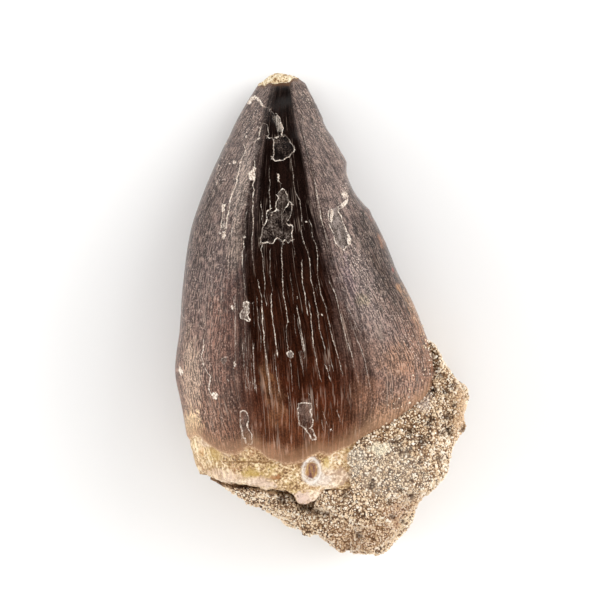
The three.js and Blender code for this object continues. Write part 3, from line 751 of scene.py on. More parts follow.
def make_tooth():
    """The tooth's plain skin, and the grid of rows and columns that its points lie on."""
    lip = np.linspace(LIP_FROM, LIP_TO, FINE_COLUMNS, endpoint=False)
    under = np.linspace(LIP_TO, LIP_FROM + 2 * math.pi, COARSE_COLUMNS, endpoint=False)
    theta = np.concatenate([lip, under])
    columns = len(theta)
    turn = np.where(theta < 0, theta + 2 * math.pi, theta)
    margin = enamel_margin(turn % (2 * math.pi))
    margin += MARGIN_WAVE * noise_at(np.stack([np.cos(theta), np.sin(theta), 0 * theta], 1), 14.0)
    end = root_end(turn)

    rows = []  # each row of the skin: y, lift, and how far the ring has closed (0 open, 1 shut)
    for row in range(1, BREAK_ROWS):
        shut = 1 - row / BREAK_ROWS
        y = end + (ROOT_Y - end) * min(1, 1.3 * shut)
        rows.append((y, np.full(columns, -ROUNDED_BREAK[1]), shut))
    for row in range(COLLAR_ROWS):
        y = end + (margin - end) * row / COLLAR_ROWS
        rows.append((y, -rounding(y - end, *ROUNDED_BREAK), 0))
    for row in range(ENAMEL_ROWS):
        up = 1 - (1 - row / (ENAMEL_ROWS - 1)) ** 1.15
        y = margin + FIRST_ENAMEL + (TIP_Y - margin - FIRST_ENAMEL) * up
        step = ENAMEL_STEP * smooth_step((y - margin) / 0.5, -0.5, 1) * (1 - smooth_step(up, 0.8, 1))
        rows.append((y, step - rounding(TIP_Y - y, *ROUNDED_TIP), 0))
    for row in range(1, TIP_ROWS):
        shut = row / TIP_ROWS
        ring = tooth_point(theta, np.full(columns, TIP_Y), 0)[:, 0] - ORIGIN[0]
        x = ring + (ring.mean() - ring) * shut
        y = TIP_Y + tip_crest(x) * (1 - (1 - shut) ** TIP_STEEPNESS)
        rows.append((y, np.full(columns, -ROUNDED_TIP[1]), shut))

    y, lift, shut = (np.array(column) for column in zip(*rows))
    shut = shut[:, None]
    theta_grid = np.broadcast_to(theta, y.shape)
    points = tooth_point(theta_grid, np.minimum(y, TIP_Y), lift)
    points[..., 1] = y + ORIGIN[1]
    middle_x, middle_z, _, _ = section_at(np.clip(y, ROOT_Y, TIP_Y), True)
    points[..., 0] += (middle_x + ORIGIN[0] - points[..., 0]) * shut
    points[..., 2] += (middle_z - points[..., 2]) * shut

    flat = points.reshape(-1, 3)
    top = TIP_Y + tip_crest(middle_x[-1].mean())
    hubs = [(middle_x[row].mean() + ORIGIN[0], hub_y + ORIGIN[1], middle_z[row].mean())
            for row, hub_y in ((0, ROOT_Y), (-1, top))]

    index = np.arange(len(rows) * columns).reshape(len(rows), columns)
    after = np.roll(index, -1, axis=1)
    quads = np.stack([index[:-1], index[1:], after[1:], after[:-1]], axis=-1).reshape(-1, 4)
    faces = quads.tolist()
    root_hub, tip_hub = len(flat), len(flat) + 1
    faces += [[root_hub, a, b] for a, b in zip(index[0], after[0])]
    faces += [[tip_hub, b, a] for a, b in zip(index[-1], after[-1])]

    grid = {"columns": columns, "rows": len(rows), "theta": theta, "margin": margin, "end": end, "y": y}
    return mesh_from("tooth_surface", np.concatenate([flat, hubs]), faces), grid


def noise_pair(points, waves, shift, other_shift):
    """Two different noises at each point, as (x, y)."""
    return np.stack([noise_at(points, waves, shift), noise_at(points, waves, other_shift)], axis=1)


def skin_marks(points, lip_side):
    """How far each point of the skin is from each kind of mark. They all lie on the lip side."""
    plan = on_plan(points)
    warp = noise_pair(points, 1.3, 0.0, 31.0) + 0.6 * noise_pair(points, 3.5, 5.0, 47.0)
    marked = plan + 0.09 * warp
    far = np.where(lip_side, 0.0, FAR)

    crack_groups = spread_lines(HAIR_CRACKS, CRACK_GROUPS, CRACKS_APART)
    beside = [beside_lines(plan + 0.04 * warp, group) for group in crack_groups]
    for group in beside:
        group[:, 1] += far
    crack = np.min([group[:, 1] - 0.06 * group[:, 2] for group in beside], axis=0)
    flake, which = depth_in_outlines(marked, [outline for _, _, outline in FLAKES])
    rim, floor_tone = np.array([(rim, tone) for rim, tone, _ in FLAKES])[which].T
    spots = np.min([np.hypot(*(marked - (x, y)).T) - radius for x, y, radius in SCALE_SPOTS], axis=0)
    x = plan[:, 0]
    drawn_line = WORN_FROM + 0.55 * smooth_step(x, -2.6, -1.9) - 0.3 * smooth_step(x, -5, -5.6)
    return SimpleNamespace(
        # The same number keeps the patches of painted sheen off the other side.
        plan=np.column_stack([plan, 5 * far]),  # the third number keeps stains off the other side
        beside=beside,
        crack=crack,
        flake=flake + far,
        rim=rim,
        floor_tone=floor_tone,
        scale=np.minimum(depth_in_outlines(marked, SCALE_PATCHES)[0], spots) + far,
        film=depth_in_outlines(marked, THIN_SCALE)[0] + far,
        crust=depth_in_outlines(plan + 0.3 * warp, CRUST_PATCHES)[0] + far,
        seam=distance_to_line(plan + 0.12 * warp, COLLAR_SEAM)[0] + far,
        foramen=np.hypot(*((plan + 0.05 * warp - FORAMEN) / FORAMEN_RADII).T) + far,
        worn=plan[:, 1] - np.where(lip_side, drawn_line, WORN_FROM + 0.05) + 0.2 * warp[:, 0],
    )


def streak_maps(theta, y):
    """Where the streaks lie: flow goes round the crown, weave is measured in from the nearer edge."""
    flow = np.stack([FLOW_RADIUS * np.cos(theta), FLOW_RADIUS * np.sin(theta), y], axis=1)
    _, _, half_width, half_depth = section_at(np.clip(y, ROOT_Y, TIP_Y), np.sin(theta) >= 0)
    from_right = np.abs((theta + math.pi) % (2 * math.pi) - math.pi)
    to_edge = np.minimum(from_right, math.pi - from_right) * (half_width + half_depth) / 2
    weave = np.stack([np.sign(np.sin(theta)) * to_edge, y, 5.0 * (from_right < math.pi / 2)], axis=1)
    return flow, weave


def skin_relief(points, theta, y, flow, marks, above, over_end):
    """How far the fine relief lifts each point of the skin."""
    bone = smooth_step(-above, -0.02, 0.05)
    enamel = 1 - bone
    at_tip = smooth_step(marks.worn, -0.1, 0.15)
    broken = 1 - smooth_step(over_end, -0.01, 0.3)
    rough = 0.5 * noise_at(points, 1.1, 3.0) + 0.3 * noise_at(points, 2.6, 9.0)
    rough += 0.2 * noise_at(points, 5.0)

    relief = RELIEF["streak"] * noise_at(flow * (1, 1, 0.07), 1.9) * enamel
    relief += RELIEF["waviness"] * noise_at(points, 0.45) * enamel
    relief -= RELIEF["flake"] * (1 - smooth_step(marks.flake, -0.12, 0.05)) * enamel
    relief += RELIEF["scale"] * (1 - smooth_step(marks.scale, -0.12, 0.04))
    relief -= RELIEF["crack"] * (1 - smooth_step(marks.crack, 0, 0.1)) * enamel
    relief += RELIEF["bone"] * rough * bone * (1 - broken)
    relief += RELIEF["crust"] * (1 - smooth_step(marks.crust, -0.35, 0.1)) * bone
    relief -= RELIEF["seam"] * (1 - smooth_step(marks.seam, 0.02, 0.2)) * bone
    relief += RELIEF["canal_rim"] * np.exp(-(((marks.foramen - 1.25) / 0.22) ** 2)) * bone
    relief -= RELIEF["canal"] * (1 - smooth_step(marks.foramen, 0.55, 1.02)) * bone
    relief += RELIEF["broken_end"] * rough * broken * bone
    relief += (RELIEF["worn_tip"] * rough + RELIEF["dentine"] * noise_at(points, 3.3, 21.0)) * at_tip
    nicks = np.clip(noise_at(np.stack([y, 0 * y, 0 * y], 1), 0.8, 12.5), 0, 1)
    at_right = np.clip(np.cos(theta), 0, 1) ** 14 * enamel * (1 - at_tip)
    relief -= at_right * (RELIEF["nick"] * nicks + RELIEF["frayed_edge"] * noise_at(points, 2.2))
    return relief


def carve_tooth(tooth, grid):
    """Moves the skin's points in and out for its fine relief, and keeps the marks on the mesh."""
    mesh = tooth.data
    points = points_of(mesh)
    y = points[:, 1] - ORIGIN[1]
    # The hubs of the root end and of the tip are the last two points.
    theta = np.append(np.tile(grid["theta"], grid["rows"]), [0, 0])
    above = np.append(grid["y"] - grid["margin"], [-9, 40])
    over_end = np.append(grid["y"] - grid["end"], [0, 40])
    flow, weave = streak_maps(theta, y)
    marks = skin_marks(points, np.sin(theta) > -0.15)
    relief = skin_relief(points, theta, y, flow, marks, above, over_end)
    points += normals_of(mesh) * relief[:, None]
    points[:, 2] = np.maximum(points[:, 2], 0.0)
    set_points(mesh, points)

    give(mesh, "flow", flow)
    give(mesh, "weave", weave)
    give(mesh, "above_margin", above)
    give(mesh, "over_end", over_end)
    give(mesh, "flake", np.column_stack([marks.flake, marks.rim, marks.floor_tone]))
    for i, group in enumerate(marks.beside):
        give(mesh, f"crack_{i}", group)
    for name in ("plan", "film", "worn", "scale", "crust", "seam", "foramen"):
        give(mesh, name, getattr(marks, name))


def map_tooth(mesh, grid):
    """A map for baking: columns run across it and rows up it, with the ends' rings spread out."""
    columns, rows = grid["columns"], grid["rows"]
    corner_points = np.zeros(len(mesh.loops), np.int32)
    mesh.loops.foreach_get("vertex_index", corner_points)
    corner_faces = np.repeat(np.arange(len(mesh.polygons)), [p.loop_total for p in mesh.polygons])
    column = corner_points % columns
    row = corner_points // columns
    first_column = np.full(len(mesh.polygons), columns)
    np.minimum.at(first_column, corner_faces, column)
    last_column = np.zeros(len(mesh.polygons), int)
    np.maximum.at(last_column, corner_faces, np.where(row < rows, column, 0))
    wraps = (last_column - first_column)[corner_faces] > 2
    column = np.where(wraps & (column == 0), columns, column)
    hub = corner_points >= rows * columns
    column = np.where(hub, first_column[corner_faces] + 0.5, column)
    row = np.where(corner_points == rows * columns, -1, row)
    uv = np.stack([column / columns, (row + 1) / (rows + 1)], axis=1)
    uv = MAP_BORDER + (1 - 2 * MAP_BORDER) * uv
    layer = mesh.uv_layers.new(name="OFBake")
    layer.data.foreach_set("uv", uv.astype(np.float32).ravel())


# ---------------------------------------------------------------- shared effects
def make_mottle():
    """Soft blotches and fine grain together: 0 to 1 over the surface."""
    tree, g, given, out = effect(
        "mottle",
        [("Vector", "Vector", None), ("Blotches", "Float", 1.0), ("Grain", "Float", 8.0),
         ("Grain share", "Float", 0.4)],
        [("Tone", "Float", None)],
    )
    soft = g.noise(given["Vector"], given["Blotches"], detail=3.0, roughness=0.55)
    fine = g.noise(given["Vector"], given["Grain"], roughness=0.6)
    g.feed(out["Tone"], g.span(g.stir(soft, (fine, given["Grain share"])), 0.25, 0.75, smooth=False))
    return tree


def make_filled_line():
    """A thin line that swells, thins and breaks off, from a distance to its middle and how bold it is."""
    tree, g, given, out = effect(
        "filled_line",
        [("Distance", "Float", None), ("Boldness", "Float", 1.0), ("Vector", "Vector", None),
         ("Width", "Float", 0.05), ("Softness", "Float", 0.06), ("Breaks", "Float", 2.0)],
        [("Mask", "Float", None)],
    )
    comes = g.noise(given["Vector"], given["Breaks"], detail=3.0, roughness=0.65)
    beads = g.noise(given["Vector"], g.product(given["Breaks"], 3.0), detail=1.0)
    width = g.product(given["Width"], given["Boldness"], g.span(comes, 0.3, 0.7, 0.3, 1.5))
    edge = g.math("ADD", width, given["Softness"])
    inside = g.span(g.math("ABSOLUTE", given["Distance"]), width, edge, 1.0, 0.0)
    shows = g.product(g.math("POWER", given["Boldness"], 1.4), g.span(comes, 0.32, 0.6, 0.35, 1.3),
                      g.span(beads, 0.35, 0.6, 0.55, 1.15))
    g.feed(out["Mask"], g.math("MULTIPLY", inside, shows, clamp=True))
    return tree


def make_soft_patch():
    """A soft oval patch with a wandering edge, for stains, painted sheen and gathered specks."""
    tree, g, given, out = effect(
        "soft_patch",
        [("Vector", "Vector", None), ("Centre", "Vector", (0, 0, 0)), ("Radii", "Vector", (1, 1, 1)),
         ("Turn", "Vector", (0, 0, 0)), ("Wander", "Float", 0.0)],
        [("Mask", "Float", None)],
    )
    inputs = {"Vector": given["Vector"], "Location": given["Centre"], "Rotation": given["Turn"],
              "Scale": given["Radii"]}
    laid = g.add("ShaderNodeMapping", inputs, vector_type="TEXTURE").outputs[0]
    away = g.add("ShaderNodeVectorMath", {0: laid}, operation="LENGTH").outputs["Value"]
    g.feed(out["Mask"], g.span(g.math("ADD", away, given["Wander"]), 1.3, 0.5))
    return tree


def make_sand():
    """Packed sand grains: a tone for each grain, the dark gaps between them, and their height."""
    tree, g, given, out = effect(
        "sand",
        [("Vector", "Vector", None), ("Grains per mm", "Float", 3.0)],
        [("Tone", "Float", None), ("Gap", "Float", None), ("Height", "Float", None)],
    )
    grain = g.cells(given["Vector"], given["Grains per mm"])
    edge = g.cells(given["Vector"], given["Grains per mm"], feature="DISTANCE_TO_EDGE")
    g.feed(out["Tone"], g.add("ShaderNodeSeparateColor", {0: grain["Color"]}).outputs[0])
    g.feed(out["Gap"], g.span(edge["Distance"], 0.02, 0.16, 1.0, 0.0))
    g.feed(out["Height"], g.span(grain["Distance"], 0.0, 0.8, 1.0, 0.0))
    return tree


mottle, filled_line, soft_patch, sand = make_mottle(), make_filled_line(), make_soft_patch(), make_sand()


def soft_spot(g, plan, wander, centre, radii, turn):
    """Where one soft oval patch shows on the plan."""
    return g.place(soft_patch, vector=plan, centre=(*centre, 0), radii=(*radii, 1), turn=(0, 0, turn),
                   wander=wander)["Mask"]


def with_stains_and_sheen(g, colour, plan, stains, wander):
    """Lays each patch of a list over the colour: stains, and on the enamel also painted sheen."""
    for centre, radii, turn, tint, cover in stains:
        colour = g.lay(colour, srgb(*tint), soft_spot(g, plan, wander, centre, radii, turn), cover)
    return colour


# ---------------------------------------------------------------- enamel
MIDDLE_COLOURS = [(0.05, srgb(90, 52, 32)), (0.17, srgb(64, 30, 15)), (0.3, srgb(43, 19, 9)),
                  (0.42, srgb(37, 17, 9)), (0.6, srgb(22, 12, 9)), (1.0, srgb(21, 12, 9))]
# The flanks' colours: the enamel's own grey-brown, made paler and greyer with painted sheen.
FLANK_AND_SHEEN_COLOURS = [(0.05, srgb(122, 90, 72)), (0.25, srgb(110, 87, 78)), (0.48, srgb(91, 76, 73)),
                 (0.72, srgb(94, 80, 76)), (1.0, srgb(92, 78, 73))]
FLAKE_COLOURS = [(0.05, srgb(14, 9, 8)), (0.4, srgb(58, 48, 43)), (0.75, srgb(108, 97, 90)),
                 (1.0, srgb(146, 134, 128))]
CREAM_COLOURS = [(0.3, srgb(150, 130, 116)), (0.45, srgb(206, 188, 172)), (0.65, srgb(240, 230, 218))]
DENTINE_COLOURS = [(0.0, srgb(112, 78, 44)), (0.25, srgb(196, 162, 116)), (0.5, srgb(234, 214, 178)),
                   (1.0, srgb(250, 240, 216))]
# What the streaks multiply the colour under them by, from the darkest streak to the palest.
STREAK_TONES = [(0.05, (0.42, 0.4, 0.39, 1)), (0.5, (1, 1, 1, 1)), (0.95, (2.0, 1.9, 1.8, 1))]
ENAMEL_IOR = 1.27


def enamel_fields(g):
    """The places, noises and regions that the enamel's colour, polish and relief all read."""
    f = SimpleNamespace(place=g.own_place())
    f.flow, f.weave, f.plan = (g.read(name, vector=True) for name in ("flow", "weave", "plan"))
    turned, lip, f.along = g.split(f.flow)
    f.across = g.math("DIVIDE", turned, FLOW_RADIUS)
    sides = g.math("ABSOLUTE", f.across)
    at_right = g.span(f.across, -0.1, 0.1)
    at_tip = g.span(f.along, 8.0, 26.0)
    f.by_edge = g.span(sides, 0.5, 0.8)
    f.low = g.span(f.along, 1.0, -15.0)

    # Streaks run up the crown, and on the flanks beside the cutting edges.
    f.broad = g.noise(f.flow, 0.9, detail=3.0, roughness=0.6, stretch=(1, 1, 0.035))
    narrow = {"detail": 3.0, "roughness": 0.65}
    f.narrow = g.blend(at_tip, g.noise(f.flow, 3.4, **narrow, stretch=(1, 1, 0.08)),
                       g.noise(f.flow, 3.4, **narrow, stretch=(0.36, 0.36, 0.08)))
    f.narrow = g.blend(f.by_edge, f.narrow, g.noise(f.weave, 2.6, **narrow, stretch=(1, 0.07, 1)))

    # The flanks begin between an inner and an outer line, which differ on the two sides.
    inner = g.blend(at_right, g.span(f.along, 2.0, 14.0, 0.34, 0.24), g.span(f.along, -6.0, 6.0, 0.2, 0.29))
    outer = g.blend(at_right, g.span(f.along, -16.0, 16.0, 0.98, 0.5, smooth=False),
                    g.span(f.along, -8.0, 6.0, 0.8, 0.48))
    flank = g.span(g.stir(sides, (f.broad, 0.25), (f.narrow, 0.28)), inner, outer)
    f.flank = g.most(flank, g.span(lip, -4.0, 2.0, 0.8, 0.0))
    f.speckled = g.most(f.flank, g.span(sides, 0.35, 0.8))

    hair = g.blend(at_tip, g.noise(f.flow, 5.6, detail=1.0, stretch=(1, 1, 0.08)),
                   g.noise(f.flow, 5.6, detail=1.0, stretch=(0.4, 0.4, 0.12)))
    short = g.noise(f.weave, 5.8, detail=0.0, stretch=(1, 0.22, 1))
    f.hair = g.blend(f.speckled, hair, short)
    f.fibre = g.noise(f.weave, 5.2, detail=0.0, stretch=(1, 0.14, 1))
    f.grit = g.noise(f.place, 4.2, detail=1.0, roughness=0.7)
    f.fine = g.noise(f.place, 7.0, detail=0.0, stretch=(1, 0.7, 1))
    f.cloud = g.noise(f.place, 0.45, detail=3.0, roughness=0.6)
    f.patchy = g.span(g.noise(f.place, 0.8, detail=4.0, roughness=0.7), 0.36, 0.64)
    f.wander = g.stir(0.0, (g.noise(f.place, 1.1, detail=3.0, roughness=0.65), 2.2))
    return f


def enamel_ground(g, f):
    """The slow colours: dark brown up the middle, grey flanks with painted sheen, the stains, and the
    browned right edge.
    """
    rise = g.span(f.along, -18.0, 28.0, smooth=False)
    colour = g.mix(f.flank, g.ramp(rise, MIDDLE_COLOURS), g.ramp(rise, FLANK_AND_SHEEN_COLOURS))
    colour = with_stains_and_sheen(g, colour, f.plan, ENAMEL_STAINS_AND_SHEEN, f.wander)

    # It grows ochre towards the chipped edge, where the stone began, and the edge itself is browner.
    near_stone = g.product(g.span(f.across, 0.15, 0.85), g.span(f.along, -6.0, -14.5))
    colour = g.lay(colour, srgb(140, 112, 90), near_stone, 0.4)
    brown = g.product(g.span(g.stir(f.across, (f.grit, 0.3)), 0.8, 0.96), g.span(f.along, 3.0, -3.0))
    return g.lay(colour, srgb(118, 84, 62), brown, 0.6)


def streaked(g, f, colour):
    """Streaks and specks darken and lighten it; the specks show on the flanks and by the tip."""
    outer_right = g.product(g.span(f.across, 0.5, 0.8), g.span(f.along, -5.0, 1.0))
    bold = g.product(g.span(f.low, 0, 1, 1.6, 0.9), g.span(outer_right, 0, 1, 1.0, 2.5))
    runs = g.product(f.by_edge, g.span(f.along, 20.0, 8.0, 0.2, 1.0), g.span(f.patchy, 0, 1, 2.6, 1.2))
    rough_part = g.product(f.speckled, g.span(f.patchy, 0, 1, 0.6, 1.0))
    tone = g.stir(
        0.5,
        (f.narrow, bold),
        (f.broad, 0.7),
        (f.hair, g.span(f.speckled, 0, 1, 1.2, 1.9)),
        (f.fibre, runs),
        (f.cloud, 0.8),
        (f.fine, g.span(rough_part, 0, 1, 0.8, 2.0)),
        (f.grit, g.span(rough_part, 0, 1, 0.2, 0.35)),
    )
    return g.mix(1.0, colour, g.ramp(tone, STREAK_TONES), "MULTIPLY")


def with_pale_hairs(g, f, colour):
    """Pale hairs wander up the crown, thickest low down and on the flanks, and pale specks gather."""
    drift = g.noise(f.flow, 1.5, detail=1.0, roughness=0.4, stretch=(1, 1, 0.03))
    ridge = g.span(g.math("ABSOLUTE", g.math("SUBTRACT", drift, 0.5)), 0.004, 0.02, 1.0, 0.0)
    comes = g.noise(f.place, 0.7, stretch=(1, 0.3, 1))
    wandering = g.product(ridge, g.span(comes, 0.45, 0.62), g.span(f.along, 16.0, 4.0, 0.15, 0.34))
    hairs = g.product(g.span(f.hair, 0.58, 0.72), g.most(f.low, f.speckled), 0.3)
    colour = g.lay(colour, srgb(190, 168, 152), g.most(hairs, wandering))

    gathered = g.product(f.speckled, g.span(f.patchy, 0, 1, 0.0, 0.3))
    for centre, radii, turn, cover in SPECKLED_PLACES:
        gathered = g.most(gathered, g.product(soft_spot(g, f.plan, f.wander, centre, radii, turn), cover))
    return g.lay(colour, srgb(226, 210, 196), g.product(g.span(f.fine, 0.64, 0.74), gathered))


def with_flakes(g, f, colour):
    """Bare flakes, and the cream mineral in the cracks and round the flakes, as scale, and as thin film."""
    flake, rim_bold, floor_tone = g.split(g.read("flake", vector=True))
    wobble = g.noise(f.place, 2.2, roughness=0.6)
    flake = g.stir(flake, (wobble, 0.35))
    in_flake = g.span(flake, 0.03, -0.05)
    blotch = g.noise(f.place, 1.1, detail=3.0, roughness=0.6, stretch=(1, 0.5, 1))
    floor = g.stir(floor_tone, (blotch, 2.2), (f.narrow, 0.9), (f.fine, 1.1))
    colour = g.lay(colour, g.ramp(floor, FLAKE_COLOURS), in_flake, g.span(f.along, -9.0, -3.0, 0.25, 0.85))

    filled = g.place(filled_line, distance=flake, boldness=rim_bold, vector=f.place, width=0.05,
                     breaks=1.6)["Mask"]
    long_place = g.times(f.place, (1, 0.45, 1))
    for i in range(CRACK_GROUPS):
        signed, away, bold = g.split(g.read(f"crack_{i}", vector=True))
        wobbled = g.stir(signed, (f.grit, 0.12), (wobble, 0.14))
        line = g.place(filled_line, distance=wobbled, boldness=bold, vector=long_place, width=0.034,
                       softness=0.046, breaks=1.5)["Mask"]
        filled = g.most(filled, g.product(line, g.span(away, 0.34, 0.24)))
    scale = g.span(g.stir(g.read("scale"), (f.grit, 0.3)), 0.04, -0.04)
    film = g.span(g.stir(g.read("film"), (f.grit, 0.4)), 0.06, -0.1)
    film = g.product(film, g.span(f.hair, 0.4, 0.65, 0.1, 0.6))
    mineral = g.most(filled, scale, film)
    return g.lay(colour, g.ramp(f.fine, CREAM_COLOURS), mineral), in_flake, mineral


def with_margin(g, f, colour):
    """It pales towards its lower margin, which has a tan lip."""
    above = g.read("above_margin")
    fade = g.span(g.total(above, (f.wander, 0.7)), 2.7, 0.0, 0.0, 0.62)
    colour = g.lay(colour, srgb(168, 130, 99), fade)
    lip = g.span(g.stir(above, (f.grit, 0.9)), 0.4, 0.0)
    return g.lay(colour, srgb(206, 170, 136), lip, 0.75)


def with_worn_tip(g, f, colour):
    """The worn tip bares granular dentine, with a rusty line where the enamel stops."""
    worn = g.read("worn")
    rust = g.product(g.span(worn, -0.55, -0.05), g.span(worn, 0.2, 0.0))
    colour = g.lay(colour, srgb(96, 62, 34), rust, 0.8)
    dentine = g.place(mottle, vector=f.place, blotches=1.6, grain=5.0, grain_share=1.4)["Tone"]
    bared = g.span(worn, -0.05, 0.08)
    return g.lay(colour, g.ramp(dentine, DENTINE_COLOURS), bared), dentine, bared


def make_enamel():
    made, g, shader = material("fossil_enamel")
    f = enamel_fields(g)
    colour = streaked(g, f, enamel_ground(g, f))
    colour = with_pale_hairs(g, f, colour)
    colour, in_flake, mineral = with_flakes(g, f, colour)
    colour, dentine, bared = with_worn_tip(g, f, with_margin(g, f, colour))
    g.feed(shader["Base Color"], colour)

    matt = g.most(mineral, g.product(in_flake, 0.3), bared)
    polish = g.total(g.span(f.narrow, 0.3, 0.7, 0.09, 0.16), (f.low, 0.14), (f.flank, 0.18), (matt, 0.35))
    g.feed(shader["Roughness"], polish)
    shader["IOR"].default_value = ENAMEL_IOR

    height = g.total(
        0.0,
        (f.narrow, 0.6),
        (f.hair, 0.4),
        (f.grit, g.span(f.speckled, 0, 1, 0.1, 0.7)),
        (in_flake, -0.8),
        (mineral, 1.0),
        (g.product(dentine, bared), 5.0),
    )
    g.feed(shader["Normal"], g.bump(height, 0.02, 0.6))
    return made


# ---------------------------------------------------------------- root collar
BONE_COLOURS = [(0.0, srgb(112, 78, 48)), (0.28, srgb(170, 134, 92)), (0.55, srgb(204, 172, 128)),
                (0.8, srgb(228, 202, 164)), (1.0, srgb(244, 228, 202))]
CANAL_COLOURS = [(0.36, srgb(116, 78, 72)), (0.47, srgb(170, 128, 104)), (0.56, srgb(164, 122, 72)),
                 (0.66, srgb(216, 184, 134))]
OPEN_BONE_COLOURS = [(0.34, srgb(98, 70, 48)), (0.5, srgb(176, 140, 100)), (0.68, srgb(222, 194, 152))]


def with_canal(g, colour, place, wander, grain):
    """The canal's mouth is striped inside, in a pale ring with a white line round it."""
    foramen = g.read("foramen")
    ring = g.product(g.span(g.total(foramen, (wander, 0.2)), 2.0, 1.4), g.span(foramen, 0.9, 1.02))
    from_line = g.math("ABSOLUTE", g.math("SUBTRACT", g.total(foramen, (wander, 0.3)), 1.42))
    pale = g.most(g.span(from_line, 0.26, 0.06), g.span(grain, 0.45, 0.7))
    ring_colour = g.mix(pale, srgb(184, 160, 142), srgb(240, 232, 224))
    colour = g.lay(colour, ring_colour, ring, 0.75)
    stripes = g.noise(place, 3.0, stretch=(1, 0.25, 1))
    return g.lay(colour, g.ramp(stripes, CANAL_COLOURS), g.span(foramen, 1.0, 0.9))


def make_collar_bone():
    made, g, shader = material("root_collar_bone")
    flow = g.read("flow", vector=True)
    place = g.own_place()
    wander = g.stir(0.0, (g.noise(place, 1.6, detail=3.0, roughness=0.7), 2.6))

    tone = g.place(mottle, vector=place, blotches=0.6, grain=3.4, grain_share=1.5)["Tone"]
    patches = g.place(mottle, vector=g.times(place, (1, 1.4, 1)), blotches=0.42, grain=2.0,
                      grain_share=0.3)["Tone"]
    colour = g.ramp(tone, BONE_COLOURS)
    colour = g.lay(colour, srgb(196, 168, 96), g.span(patches, 0.55, 0.8), 0.35)
    colour = g.lay(colour, srgb(164, 106, 62), g.span(patches, 0.36, 0.16), 0.5)
    colour = with_stains_and_sheen(g, colour, g.read("plan", vector=True), BONE_STAINS, wander)

    # The left side is drawn into pale upright wrinkles.
    wrinkles = g.noise(flow, 3.0, detail=3.0, roughness=0.7, stretch=(1, 1, 0.22))
    at_left = g.span(g.split(flow)["X"], -6.0, -11.0)
    colour = g.lay(colour, srgb(160, 124, 78), g.product(g.span(wrinkles, 0.5, 0.38), at_left), 0.6)
    colour = g.lay(colour, srgb(250, 230, 196), g.product(g.span(wrinkles, 0.5, 0.62), at_left), 0.75)

    under_margin = g.span(g.read("above_margin"), -0.6, -0.05)
    colour = g.lay(colour, srgb(150, 108, 74), under_margin, g.span(tone, 0.7, 0.3, 0.1, 0.5))

    grain = g.noise(place, 4.4, roughness=0.7)
    pit = g.span(g.cells(place, 1.7)["Distance"], 0.22, 0.08)
    pit = g.most(g.product(pit, g.span(patches, 0.35, 0.55), 0.7), g.span(grain, 0.4, 0.3, 0.0, 0.6))
    colour = g.lay(colour, srgb(112, 78, 46), pit)

    crust = g.span(g.stir(g.read("crust"), (tone, 0.5)), 0.1, -0.2)
    crust_colour = g.mix(g.span(tone, 0.2, 0.8), srgb(204, 174, 150), srgb(244, 226, 208))
    colour = g.lay(colour, crust_colour, crust, 0.6)
    seam = g.place(filled_line, distance=g.read("seam"), vector=place, width=0.05, breaks=1.0)["Mask"]
    colour = g.lay(colour, srgb(132, 94, 52), seam, 0.75)
    colour = with_canal(g, colour, place, wander, grain)

    open_bone = g.ramp(g.noise(place, 2.4, detail=4.0, roughness=0.65), OPEN_BONE_COLOURS)
    colour = g.lay(colour, open_bone, g.span(g.read("over_end"), 0.12, -0.02))
    g.feed(shader["Base Color"], colour)
    g.feed(shader["Roughness"], g.span(tone, 0.0, 1.0, 0.75, 0.5))

    height = g.total(g.noise(place, 4.2, detail=4.0, roughness=0.7), (wrinkles, 0.8), (pit, -0.9))
    g.feed(shader["Normal"], g.bump(height, 0.12, 0.8))
    return made


# ---------------------------------------------------------------- stone
STONE_VOXEL = 0.24
GAP_REACH = 0.75  # the socket wall closes up to the tooth from so far away
SOCKET_FACING = 0.35  # where it faces the tooth by at least this cosine
SOCKET_OVERLAP = 0.12  # and goes so far into it
PIT_DEPTH = 0.35
SURFACE_LUMPS = [(0.35, 0.16), (0.9, 0.12), (2.2, 0.09)]  # (waves per millimetre, height)
# Pits and crevices in the stone: (x, y, radius).
# Their darker colour is painted shade, also in the crevices under the collar's overhang.
STONE_PITS = [
    (10.8, -16.3, 0.4), (14.4, -12.6, 0.4), (14.9, -9, 0.4), (16.4, -12.2, 0.45), (16.5, -13.7, 0.35),
    (15.9, -14.2, 0.3), (16.7, -14.2, 0.3), (13.4, -15.1, 0.55), (12, -14, 0.45), (15.4, -17.2, 0.4),
    (10.2, -15.3, 0.35), (11.6, -16.5, 0.35), (14.1, -13.1, 0.3), (15.2, -6.2, 0.3), (14.7, -6.9, 0.3),
    (15.8, -7.3, 0.35), (16.2, -9.2, 0.35), (17.1, -8.4, 0.3), (18.3, -13.7, 0.35), (17.3, -10.8, 0.3),
    (1.8, -23.8, 0.4), (9.8, -24.2, 0.35), (11.1, -24.8, 0.3), (5.9, -26.4, 0.4), (11.9, -25.5, 0.3),
    (10.9, -21, 0.3), (12.1, -21.7, 0.35), (9.5, -22.4, 0.4), (4.2, -21.7, 0.35), (7.4, -20.5, 0.4),
    (-3.4, -21.8, 0.45), (-3.2, -22.5, 0.35), (-2.1, -21.5, 0.55), (-1.5, -22.1, 0.5), (-0.7, -23.1, 0.5),
    (0.1, -23.4, 0.6), (0.9, -23.6, 0.5),
]
